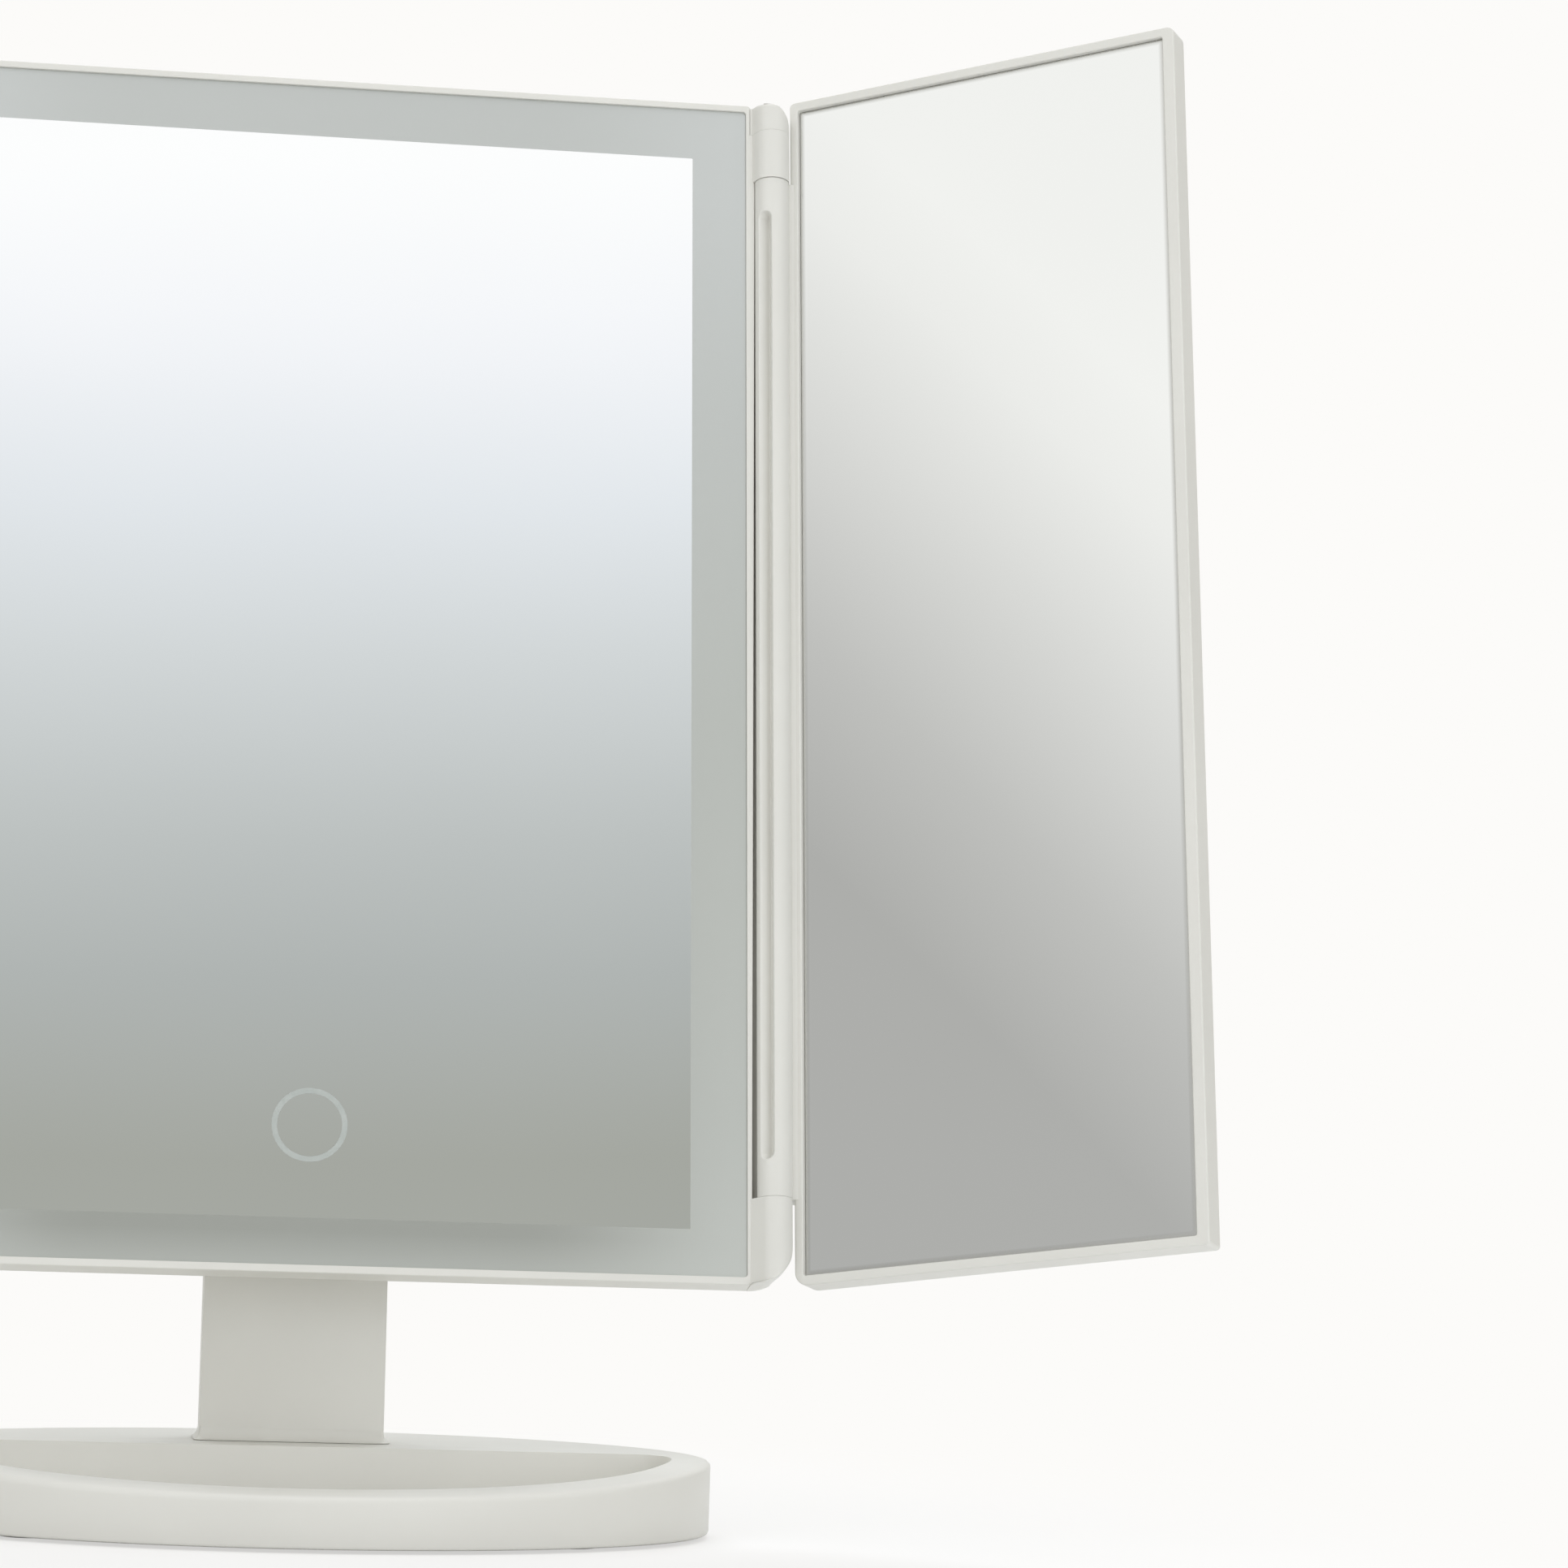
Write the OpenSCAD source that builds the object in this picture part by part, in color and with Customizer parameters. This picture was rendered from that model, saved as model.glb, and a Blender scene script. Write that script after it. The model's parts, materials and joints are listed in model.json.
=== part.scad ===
// Lighted trifold vanity mirror on an oval tray stand.
// World frame: X to the viewer's right, Y away from the viewer, Z up, origin on the table at the
// middle of the oval base. The centre mirror leans back and both wings are turned to the viewer.

/* [Centre mirror] */
// Width of the centre casing without its hinges
centre_w = 188.9; // [160:0.1:220]
// Height of the centre casing
centre_h = 274.5; // [240:0.5:320]
// Thickness of the thin edge of every mirror casing
edge_t = 6.5; // [6:0.1:8]
// Lean of the centre mirror away from the viewer
tilt = 14.55; // [0:0.1:45]
// Width of the frosted light band round the clear mirror
band_w = 12.3; // [8:0.1:20]
// Depth of the raised pod on the back, measured from the front face
pod_depth = 23; // [22.5:0.1:26]
// Height of the middle of the touch ring above the lower edge
ring_v = 32; // [25:0.5:60]
// Outer radius of the touch ring
ring_r = 8.05; // [6:0.05:12]

/* [Wings] */
// Distance from hinge axis to the free edge of a wing
wing_reach = 97.25; // [85:0.05:98]
// Height of a wing
wing_h = 275.7; // [241:0.1:321]
// Turn of both wings towards the viewer from lying flat
wing_turn = 33.5; // [0:0.5:180]
// Distance from the middle of the mirror to a hinge axis
hinge_x = 99.4; // [99.2:0.1:100]
// Radius of the round hinge barrel
barrel_r = 3.85; // [3.6:0.05:4]
// Radius of the long round groove down the barrel
groove_r = 1.6; // [1.2:0.05:1.7]

/* [Stand] */
// Half of the length of the oval base
base_a = 88.2; // [80:0.1:110]
// Half of the depth of the oval base
base_b = 58; // [55:0.5:75]
// Height of the flat rear deck of the base above its lower edge
deck_h = 15.6; // [15:0.1:20]
// Fall of the rim towards the front, per millimetre
rim_fall = 0.11; // [0.05:0.005:0.12]
// Width of the rim at the sides of the tray
rim_w = 8.4; // [7:0.1:12]
// Width of the neck
neck_w = 39.6; // [36:0.1:50]
// Thickness of the neck
neck_t = 12; // [12:0.1:16]
// Lean of the neck away from the viewer
neck_lean = 10; // [0:0.5:12]

/* [Hidden] */

$fn = 48;
eps = 0.01;

// ---- where the assemblies stand
foot_proud = 0.8;                 // rubber feet below the lower edge of the base
deck_z = foot_proud + deck_h;
panel_y = -12.1;                  // lower front edge of the centre mirror
panel_z = 53.35 + foot_proud;
pivot_v = 93;                     // tilt axis, up the panel from its lower edge
pivot_d = 33;                     // and behind its front face
pivot_y = panel_y + pivot_v * sin(tilt) + pivot_d * cos(tilt);
pivot_z = panel_z + pivot_v * cos(tilt) - pivot_d * sin(tilt);

// The mirror assembly: local X right, Y back from the front face, Z up the panel.
module in_panel() {
  translate([0, panel_y, panel_z]) rotate([-tilt, 0, 0]) children();
}

// A wing: local X from the hinge axis to the free edge, Y back, Z up the panel.
module in_wing(side) {
  in_panel() mirror([side < 0 ? 1 : 0, 0, 0])
    translate([hinge_x, 0, 0]) rotate([0, 0, -wing_turn]) children();
}

// The neck: origin on the tilt axis, Y back, Z up along the neck.
module in_neck() {
  translate([0, pivot_y, pivot_z]) rotate([-neck_lean, 0, 0]) children();
}

// A flat outline drawn as X, Z and given the thickness from y0 to y1.
module slab(y0, y1) {
  translate([0, y1, 0]) rotate([90, 0, 0]) linear_extrude(y1 - y0) children();
}

// A rectangle from (x0, z0) to (x1, z1) with its own radius at each corner,
// in the order lower left, lower right, upper right, upper left.
module round_rect(x0, z0, x1, z1, r) {
  polygon([
    [x0 + r[0], z0], [x1 - r[1], z0], [x1, z0 + r[1]], [x1, z1 - r[2]],
    [x1 - r[2], z1], [x0 + r[3], z1], [x0, z1 - r[3]], [x0, z0 + r[0]]
  ]);
  translate([x0 + r[0], z0 + r[0]]) circle(r[0]);
  translate([x1 - r[1], z0 + r[1]]) circle(r[1]);
  translate([x1 - r[2], z1 - r[2]]) circle(r[2]);
  translate([x0 + r[3], z1 - r[3]]) circle(r[3]);
}

// A rectangle centred on x = 0 with one radius at all corners.
module centred_rect(half, z0, z1, r) {
  round_rect(-half, z0, half, z1, [r, r, r, r]);
}

// A countersunk screw with a cross recess, its head's top at the origin, pointing to -Z.
module screw(r, length, head_r) {
  difference() {
    union() {
      cylinder(r = head_r, h = 0.8);
      translate([0, 0, -length]) cylinder(r = r, h = length + eps);
    }
    for (turn = [0, 90]) rotate([0, 0, turn])
      translate([-head_r * 0.6, -0.35, 0.3]) cube([head_r * 1.2, 0.7, 1]);
  }
}

module both_sides() {
  children();
  mirror([1, 0, 0]) children();
}

off_white = [0.86, 0.865, 0.84];
steel = [0.72, 0.73, 0.75];
silver = [0.80, 0.84, 0.84];

// ============================================================ base
wall = 2.2;
tray_floor = 5;                   // height of the tray floor above the lower edge
floor_t = 1.8;
tray_rear_y = 8;                  // straight rear edge of the tray
tray_corner = 7;                  // radius where the rear edge meets the oval
tray_a = base_a - rim_w;
tray_b = base_b - rim_w - 0.5;
fall_y = -11.5;                     // the rim starts to fall in front of this line
fall_blend = 8;                   // half the length of the soft bend there
cover_t = 1.6;
cover_z = foot_proud + 0.4;
cover_top = cover_z + cover_t;
oval_steps = 96;

// Height of the rim's top at depth y: level behind, a soft bend, then an even fall.
function rim_z(y) =
  y > fall_y + fall_blend ? deck_z :
  y < fall_y - fall_blend ? deck_z - rim_fall * (fall_y - y) :
  deck_z - rim_fall * pow(fall_y + fall_blend - y, 2) / (4 * fall_blend);

function oval_point(inset, i) = let (t = -90 + i * 360 / oval_steps)
  [(base_a - inset) * cos(t), (base_b - inset) * sin(t)];

// Outer skin rings: [inset, height above the lower edge or below the rim top].
skin_bottom = [[0.8, 0], [0.25, 0.25], [0, 0.8]];
skin_top = [[0, 1.5], [0.2, 0.75], [0.75, 0.2], [1.5, 0]];

function ring_low(p) = [for (i = [0 : oval_steps - 1])
  let (q = oval_point(p[0], i)) [q[0], q[1], foot_proud + p[1]]];
function ring_high(p) = [for (i = [0 : oval_steps - 1])
  let (q = oval_point(p[0], i)) [q[0], q[1], rim_z(q[1]) - p[1]]];

module base_form() {
  rings = concat([for (p = skin_bottom) ring_low(p)], [for (p = skin_top) ring_high(p)]);
  points = [for (ring = rings) each ring];
  count = len(rings);
  n = oval_steps;
  top = (count - 1) * n;
  sides = [for (k = [0 : count - 2]) for (i = [0 : n - 1]) let (j = (i + 1) % n)
    [k * n + i, (k + 1) * n + i, (k + 1) * n + j, k * n + j]];
  lid = [for (i = [1 : n / 2 - 2]) [top + n - i, top + n - i - 1, top + i + 1, top + i]];
  tips = [[top, top + n - 1, top + 1], [top + n / 2 - 1, top + n / 2 + 1, top + n / 2]];
  polyhedron(points, concat(sides, lid, tips, [[for (i = [0 : n - 1]) i]]));
}

module oval(inset) {
  polygon([for (i = [0 : oval_steps - 1]) oval_point(inset, i)]);
}

// The D-shaped tray: half an oval in front, a straight edge behind, round corners.
module tray_outline(grow) {
  r = tray_corner;
  cx = tray_a - r;
  cy = tray_rear_y - r;
  corner = [for (f = [90 : -15 : 0]) [cx + (r + grow) * cos(f), cy + (r + grow) * sin(f)]];
  front = [for (t = [-3.75 : -3.75 : -176.25])
    [(tray_a + grow) * cos(t), (tray_b + grow) * sin(t)]];
  other = [for (f = [180 : -15 : 90]) [-cx + (r + grow) * cos(f), cy + (r + grow) * sin(f)]];
  polygon(concat(corner, front, other));
}

front_screw = [30, -49];
side_screw = [70, 22];
rear_screw = [0, 53];
boss_r = 3.2;
pilot_r = 1.1;
neck_foot_y = pivot_y - (pivot_z - deck_z) * tan(neck_lean);  // neck's own line at the deck
neck_screw_x = 15.4;
strut_w = 25;
strut_t = 4;
strut_y = 2;                      // front of the strut in the neck's frame
slot_y = neck_foot_y + strut_y + strut_t / 2;

module at_base_screws() {
  both_sides() translate(front_screw) children();
  both_sides() translate(side_screw) children();
  translate(rear_screw) children();
}

module base_shell() color(off_white) {
  deck_t = 2.4;
  rear_wall_y = tray_rear_y + wall;
  difference() {
    base_form();
    translate([0, 0, foot_proud + tray_floor]) linear_extrude(20) tray_outline(0);
    // shallow pan under the tray floor
    translate([0, 0, -1]) linear_extrude(1 + foot_proud + tray_floor - floor_t)
      intersection() {
        oval(wall);
        union() {
          tray_outline(-0.6);
          translate([-base_a, tray_rear_y - 1]) square([2 * base_a, base_b]);
        }
      }
    // room for the bottom cover
    translate([0, 0, -1]) linear_extrude(1 + cover_top) oval(wall);
    // deep space under the rear deck, round the screw bosses
    translate([0, 0, -1]) linear_extrude(1 + deck_z - deck_t) difference() {
      intersection() {
        oval(wall);
        translate([-base_a, rear_wall_y]) square([2 * base_a, base_b]);
      }
      both_sides() translate(side_screw) circle(boss_r);
      translate(rear_screw) circle(boss_r);
    }
    // pilot holes, slot for the neck strut and holes for its screws
    translate([0, 0, -1]) linear_extrude(1 + foot_proud + 8) at_base_screws() circle(pilot_r);
    translate([-strut_w / 2 - 0.3, slot_y - 4, deck_z - 5]) cube([strut_w + 0.6, 8, 6]);
    both_sides() translate([neck_screw_x, slot_y, deck_z - 5]) cylinder(r = 1.7, h = 6);
  }
}

module base_bottom_cover() color([0.80, 0.81, 0.78]) difference() {
  translate([0, 0, cover_z]) linear_extrude(cover_t) oval(wall + 0.3);
  translate([0, 0, cover_z - 1]) linear_extrude(cover_t + 2) at_base_screws() circle(1.7);
  translate([0, 0, cover_z - 1]) linear_extrude(1.8) at_base_screws() circle(3);
  translate([0, 0, cover_z - 1]) linear_extrude(1 + 0.4) at_feet() circle(7.2);
}

module base_screws() color(steel)
  translate([0, 0, cover_z + 0.8]) at_base_screws() mirror([0, 0, 1]) screw(1.1, 6, 2.6);

foot_x = 55;
foot_y = 30;
module at_feet() {
  for (sx = [-1, 1], sy = [-1, 1]) translate([sx * foot_x, sy * foot_y]) children();
}

module rubber_feet() color([0.75, 0.75, 0.73]) {
  pad_top = cover_z + 0.4;
  at_feet() rotate_extrude() polygon([
    [0, 0], [6.4, 0], [6.9, 0.3], [7, 0.7], [7, pad_top], [0, pad_top]
  ]);
}

module ballast_plate() color([0.45, 0.46, 0.48])
  translate([0, 0, cover_top]) linear_extrude(6) difference() {
    intersection() {
      oval(wall + 4);
      translate([-base_a, tray_rear_y + wall + 1.5]) square([2 * base_a, 40]);
    }
    both_sides() translate(side_screw) circle(boss_r + 0.5);
    translate(rear_screw) circle(boss_r + 0.5);
    both_sides() translate([neck_screw_x, slot_y]) circle(3.4);
  }

// ============================================================ neck
knuckle_r = 7;
neck_front = -2;                  // front face of the neck, before the tilt axis
neck_back = neck_front + neck_t;
neck_len = (pivot_z - deck_z) / cos(neck_lean) + 12;
neck_wall = 2;
pin_r = 3;
run_gap = 0.04;                   // radial clearance of every turning pin
neck_inner = neck_w / 2 - neck_wall;

// Side view of the neck: a plain column with a round head that bulges forward.
module neck_profile(inset) {
  circle(knuckle_r - inset);
  polygon([
    [neck_front + inset, -neck_len], [neck_back - inset, -neck_len],
    [neck_back - inset, -12], [(knuckle_r - inset) * cos(8), (knuckle_r - inset) * sin(8)],
    [0, 0], [-(knuckle_r - inset) * cos(-18), (knuckle_r - inset) * sin(-18)],
    [neck_front + inset, -26]
  ]);
}

// An outline in the neck's side view (Y, Z) given a width along X from -half to half.
module across(half) {
  rotate([90, 0, 90]) translate([0, 0, -half]) linear_extrude(2 * half) children();
}

// What lies above the level z.
module above(z) {
  intersection() {
    children();
    translate([-50, -100, z]) cube([100, 260, 300]);
  }
}

foot_grow = 1.6;                  // the foot spreads by this much on every side
foot_h = 2.8;
// Half outline of the spreading foot as seen along one axis, with a hollow fillet.
function foot_side(half) = concat(
  [[half + foot_grow, 0], [half + foot_grow, 0.7]],
  [for (f = [0 : 22.5 : 90])
    [half + foot_grow * (1 - sin(f)), 0.7 + (foot_h - 0.7) * (1 - cos(f))]]
);
function mirrored(side) = concat(side, [for (i = [len(side) - 1 : -1 : 0]) [-side[i][0], side[i][1]]]);

module neck_foot() {
  mid = (neck_front + neck_back) / 2 / cos(neck_lean);
  half_t = neck_t / 2 / cos(neck_lean) + 0.4;
  translate([0, neck_foot_y + mid, deck_z]) intersection() {
    translate([0, 30, 0]) rotate([90, 0, 0]) linear_extrude(60) polygon(mirrored(foot_side(neck_w / 2)));
    rotate([90, 0, 90]) translate([0, 0, -30]) linear_extrude(60) polygon(mirrored(foot_side(half_t)));
  }
}

module neck_front_shell() color(off_white) difference() {
  union() {
    above(deck_z) in_neck() across(neck_w / 2) neck_profile(0);
    neck_foot();
  }
  // hollow for the strut, open at the back where the rear cover sits
  difference() {
    in_neck() across(neck_inner) neck_profile(neck_wall);
    both_sides() translate([neck_screw_x, slot_y, deck_z - 1]) cylinder(r = 2.5, h = 13);
  }
  above(deck_z + foot_h) in_neck() translate([-neck_inner, neck_back - neck_wall - eps, -neck_len])
    cube([2 * neck_inner, neck_wall + 1, neck_len - 14]);
  in_neck() rotate([0, 90, 0]) translate([0, 0, -30]) cylinder(r = pin_r + 0.35, h = 60);
  both_sides() translate([neck_screw_x, slot_y, deck_z - 1]) cylinder(r = 1.25, h = 10);
  translate([-strut_w / 2 - 0.3, slot_y - 3.6, deck_z - 1]) cube([strut_w + 0.6, 7.2, 5]);
}

// Two screws hold the rear cover of the neck to the strut.
module at_neck_cover_screws() {
  in_neck() for (z = [-32, -88]) translate([0, 0, z]) rotate([-90, 0, 0]) children();
}

module neck_rear_cover() color(off_white) {
  top = -14.2;
  difference() {
    union() {
      above(deck_z) in_neck() translate([-neck_inner + 0.1, neck_back - neck_wall, -neck_len])
        cube([2 * neck_inner - 0.2, neck_wall, neck_len + top]);
      at_neck_cover_screws() translate([0, 0, strut_y + strut_t])
        cylinder(r = 3, h = neck_back - neck_wall - strut_y - strut_t + eps);
    }
    translate([-40, -60, deck_z - 1]) cube([80, 200, 1 + foot_h + 0.2]);
    at_neck_cover_screws() cylinder(r = 1.1, h = 20);
    at_neck_cover_screws() translate([0, 0, neck_back - 1]) cylinder(r = 2.4, h = 3);
  }
}

module neck_strut() color(steel) {
  flange_t = 2.4;
  flange_z = deck_z - 2.4 - flange_t;
  difference() {
    union() {
      intersection() {
        in_neck() across(strut_w / 2) polygon([
          [strut_y, -neck_len - 8], [strut_y + strut_t, -neck_len - 8], [strut_y + strut_t, -5],
          [4.6, -0.9], [0, 0], [1, -4.6], [strut_y, -8]
        ]);
        translate([-50, -100, flange_z]) cube([100, 260, 300]);
      }
      translate([-19, slot_y - 7, flange_z]) cube([38, 14, flange_t]);
      in_neck() rotate([0, 90, 0]) translate([0, 0, -strut_w / 2])
        cylinder(r = 4.7, h = strut_w);
    }
    in_neck() rotate([0, 90, 0]) translate([0, 0, -30]) cylinder(r = pin_r + run_gap, h = 60);
    both_sides() translate([neck_screw_x, slot_y, flange_z - 1]) cylinder(r = 1.7, h = 5);
    at_neck_cover_screws() cylinder(r = 1.1, h = 20, center = true);
  }
}

module neck_screws() color(steel) {
  both_sides() translate([neck_screw_x, slot_y, deck_z - 4.8])
    mirror([0, 0, 1]) screw(1.25, 13, 2.8);
  at_neck_cover_screws() translate([0, 0, neck_back - 1]) screw(1.1, 6.6, 2.2);
}

// ============================================================ centre casing
half_w = centre_w / 2;
lip_side = 0.85;                  // visible edge of the casing beside the glass
lip_bottom = 1.6;
lip_top = 1.45;
glass_x = half_w - lip_side;
glass_z0 = lip_bottom;
glass_z1 = centre_h - lip_top;
glass_front = 0.6;                // the glass lies this deep in the casing
glass_t = 1.9;
glass_back = glass_front + glass_t;
casing_wall = 2.5;
cover_plate_t = 1.6;
plate_front = edge_t - cover_plate_t;
fit = 0.12;                       // gap round a part that is set into a casing
clear_x = glass_x - band_w;       // half of the clear mirror
clear_z0 = glass_z0 + band_w - 2;
clear_z1 = glass_z1 - band_w;

ear_low_v = 18.7;                 // lower ear, from the lower edge to here
ear_top_v = centre_h - 19.1;      // upper ear, from here to its cap
ear_end_v = centre_h - 0.75;      // top of the cap on the upper ear
cap_v = ear_end_v - 6.6;          // seam under the cap
seam = 0.25;                      // gap between an ear and the barrel
hinge_pin_r = 1.25;
pin_low = [6, ear_low_v + 11.8];
pin_top = [ear_top_v - 11.8, cap_v];

// Section of an ear: the round barrel and the web that ties it to the casing.
module ear_section() {
  tangent = acos(barrel_r / edge_t);
  translate([hinge_x, 0]) circle(barrel_r);
  polygon([
    [half_w - casing_wall, 0], [hinge_x, 0],
    [hinge_x + barrel_r * sin(tangent), barrel_r * cos(tangent)],
    [hinge_x, edge_t], [half_w - casing_wall, edge_t]
  ]);
}

// Takes away the corner outside a quarter circle centred at (x, z), above or below it.
module corner_cut(x, z, r, up) {
  translate([x, z]) mirror([0, up ? 0 : 1]) difference() {
    square(r + 1);
    circle(r);
  }
}

// The part from v0 to v1 of the right-hand ears, whose outer ends are rounded.
ear_x = hinge_x + barrel_r + 0.05;
round_low = 8.7;
round_top = 5.6;
module ear(v0, v1) {
  intersection() {
    translate([0, 0, v0]) linear_extrude(v1 - v0) ear_section();
    slab(-10, 20) difference() {
      translate([half_w - 20, v0]) square([ear_x - half_w + 20, v1 - v0]);
      corner_cut(ear_x - round_low, round_low, round_low, false);
      corner_cut(ear_x - round_top, ear_end_v - round_top, round_top, true);
    }
  }
}

// Section of the shield: a flange of the casing that hides the gap beside the barrel. Its hollow
// face keeps clear of the barrel, and its end clear of the wing's web when the wing lies flat.
shield_clear = 0.35;
module shield_section() difference() {
  translate([half_w - casing_wall, 0]) square([hinge_x - 0.5 - half_w + casing_wall, edge_t]);
  translate([half_w, -1]) square([hinge_x - half_w, 1 + barrel_r]);
  translate([hinge_x, 0]) circle(barrel_r + shield_clear);
}

module center_frame() color(off_white) in_panel() difference() {
  union() {
    slab(0, edge_t) centred_rect(half_w, 0, centre_h, 0.6);
    both_sides() {
      ear(0, ear_low_v);
      ear(ear_top_v, cap_v);
      translate([0, 0, ear_low_v - 1]) linear_extrude(ear_top_v - ear_low_v + 2) shield_section();
    }
  }
  // seat of the glass, room behind it and seat of the rear cover
  slab(-1, glass_back) centred_rect(glass_x, glass_z0, glass_z1, 0.8);
  slab(0, edge_t + 1) centred_rect(half_w - casing_wall, 3.4, centre_h - 3.2, 1);
  slab(plate_front, edge_t + 1) centred_rect(half_w - 1.4, 1.4, centre_h - 1.4, 2);
  both_sides() {
    translate([hinge_x, 0, pin_low[0]]) cylinder(r = hinge_pin_r, h = 30);
    translate([hinge_x, 0, ear_top_v - 1]) cylinder(r = hinge_pin_r, h = 30);
  }
  snaps(0.1);
}

module hinge_cap(side) color(off_white)
  in_panel() mirror([side < 0 ? 1 : 0, 0, 0]) intersection() {
    ear(cap_v, ear_end_v);
    translate([half_w, -20, 0]) cube([30, 60, 400]);
  }

module right_hinge_cap() hinge_cap(1);
module left_hinge_cap() hinge_cap(-1);

module hinge_pins(side) color(steel)
  in_panel() mirror([side < 0 ? 1 : 0, 0, 0]) for (span = [pin_low, pin_top])
    translate([hinge_x, 0, span[0]]) cylinder(r = hinge_pin_r, h = span[1] - span[0]);

module right_hinge_pins() hinge_pins(1);
module left_hinge_pins() hinge_pins(-1);

// The clear mirror in the middle; a round groove in it takes the touch ring.
ring_line = 1.2;
ring_deep = 0.5;
module center_mirror() color(silver) in_panel() difference() {
  slab(glass_front, glass_back) centred_rect(clear_x, clear_z0, clear_z1, 0.2);
  slab(0, glass_front + ring_deep) ring_outline();
}

module ring_outline() translate([0, ring_v]) difference() {
  circle(ring_r);
  circle(ring_r - ring_line);
}

module touch_ring() color([0.88, 0.90, 0.89]) in_panel()
  slab(glass_front, glass_front + ring_deep) ring_outline();

module frosted_light_band() color([0.74, 0.77, 0.76]) in_panel()
  slab(glass_front, glass_back) difference() {
    centred_rect(glass_x - fit, glass_z0 + fit, glass_z1 - fit, 0.8);
    centred_rect(clear_x, clear_z0, clear_z1, 0.2);
  }

// Light guide behind the glass, with a round window for the touch sensor.
guide_back = glass_back + 1.7;
module light_guide() color([0.90, 0.95, 0.97]) in_panel() slab(glass_back, guide_back) difference() {
  centred_rect(half_w - casing_wall - 1.6, 5, centre_h - 4.8, 1);
  translate([0, ring_v]) circle(11);
}

module reflector_sheet() color([0.96, 0.96, 0.96]) in_panel() slab(guide_back, guide_back + 0.3)
  difference() {
    centred_rect(half_w - casing_wall - 1.6, 5, centre_h - 4.8, 1);
    translate([0, ring_v]) circle(11);
  }

// Flexible strip on the inner wall of the casing, with the lamps facing inwards.
strip_t = 0.4;
strip_back = guide_back + 0.2;
strip_x = half_w - casing_wall;
strip_z0 = 3.4;
strip_z1 = centre_h - 3.2;
module led_strip() color([0.93, 0.90, 0.72]) in_panel()
  slab(glass_back + 0.1, strip_back) difference() {
    centred_rect(strip_x - 0.05, strip_z0 + 0.05, strip_z1 - 0.05, 0.9);
    centred_rect(strip_x - 0.05 - strip_t, strip_z0 + 0.05 + strip_t, strip_z1 - 0.05 - strip_t, 0.6);
  }

led_pitch = 12;
module led_chips() color([1, 0.95, 0.55]) in_panel() slab(glass_back + 0.3, guide_back - 0.1) {
  rise = strip_z1 - strip_z0;
  rows = floor(rise / led_pitch) - 1;
  columns = floor(2 * strip_x / led_pitch) - 1;
  for (i = [0 : rows]) both_sides()
    translate([strip_x - strip_t - 0.85, (strip_z0 + strip_z1) / 2 + (i - rows / 2) * led_pitch - 1.4])
      square([0.8, 2.8]);
  for (i = [0 : columns], top = [0, 1])
    translate([(i - columns / 2) * led_pitch - 1.4,
      top == 1 ? strip_z1 - strip_t - 0.85 : strip_z0 + strip_t + 0.05])
      square([2.8, 0.8]);
}

module touch_sensor() color([0.10, 0.35, 0.20]) in_panel() translate([0, 0, ring_v])
  rotate([-90, 0, 0]) {
    translate([0, 0, glass_back]) cylinder(r = 9.5, h = 1);
    translate([-3, -2, glass_back + 1 - eps]) cube([6, 4, guide_back + 0.35 - glass_back - 1 + eps]);
  }

// ============================================================ back of the centre casing
pod_x = 46;                       // half of the width of the pod
pod_z0 = 58;
pod_z1 = 210;
pod_wall = 1.8;
pod_round = 4;

// The pod: straight walls that turn into the flat back with a rounded edge.
module pod_form(inset, back) {
  hull() {
    slab(plate_front + 0.5, plate_front + 1) centred_rect(pod_x - inset, pod_z0 + inset, pod_z1 - inset, 12 - inset, $fn = 32);
    slab(back - pod_round - 0.5, back - pod_round)
      centred_rect(pod_x - 1 - inset, pod_z0 + 1 + inset, pod_z1 - 1 - inset, 11 - inset, $fn = 32);
    slab(back - pod_round * 0.3 - 0.01, back - pod_round * 0.3)
      centred_rect(pod_x - 2.2 - inset, pod_z0 + 2.2 + inset, pod_z1 - 2.2 - inset, 9.8 - inset, $fn = 32);
    slab(back - 0.01, back)
      centred_rect(pod_x - 5 - inset, pod_z0 + 5 + inset, pod_z1 - 5 - inset, 7.5 - inset, $fn = 32);
  }
}

door_x = 31;
door_z0 = 133;
door_z1 = 188.6;
door_gap = 0.3;
bracket_x = 26;                   // half of the width of the tilt bracket
bracket_z = [pivot_v - 19, pivot_v + 19];
bracket_t = 2.5;
board_z = [63, 124];
board_y = 8;
board_t = 1.6;
usb_x = 27;
usb_y = board_y + board_t + 1.6;

// Snap lugs on the edge of the rear cover, and the grooves for them when grown.
module snaps(grow) {
  for (z = [40, centre_h / 2, centre_h - 40]) both_sides()
    translate([half_w - 1.4 - fit - eps, plate_front + 0.4 - grow, z - 4 - grow])
      cube([0.45 + grow, 0.7 + 2 * grow, 8 + 2 * grow]);
}

module at_bracket_screws(depth) {
  for (x = [-16, 16], z = [bracket_z[0] + 4.5, bracket_z[1] - 4.5])
    translate([x, depth, z]) rotate([-90, 0, 0]) children();
}

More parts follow.
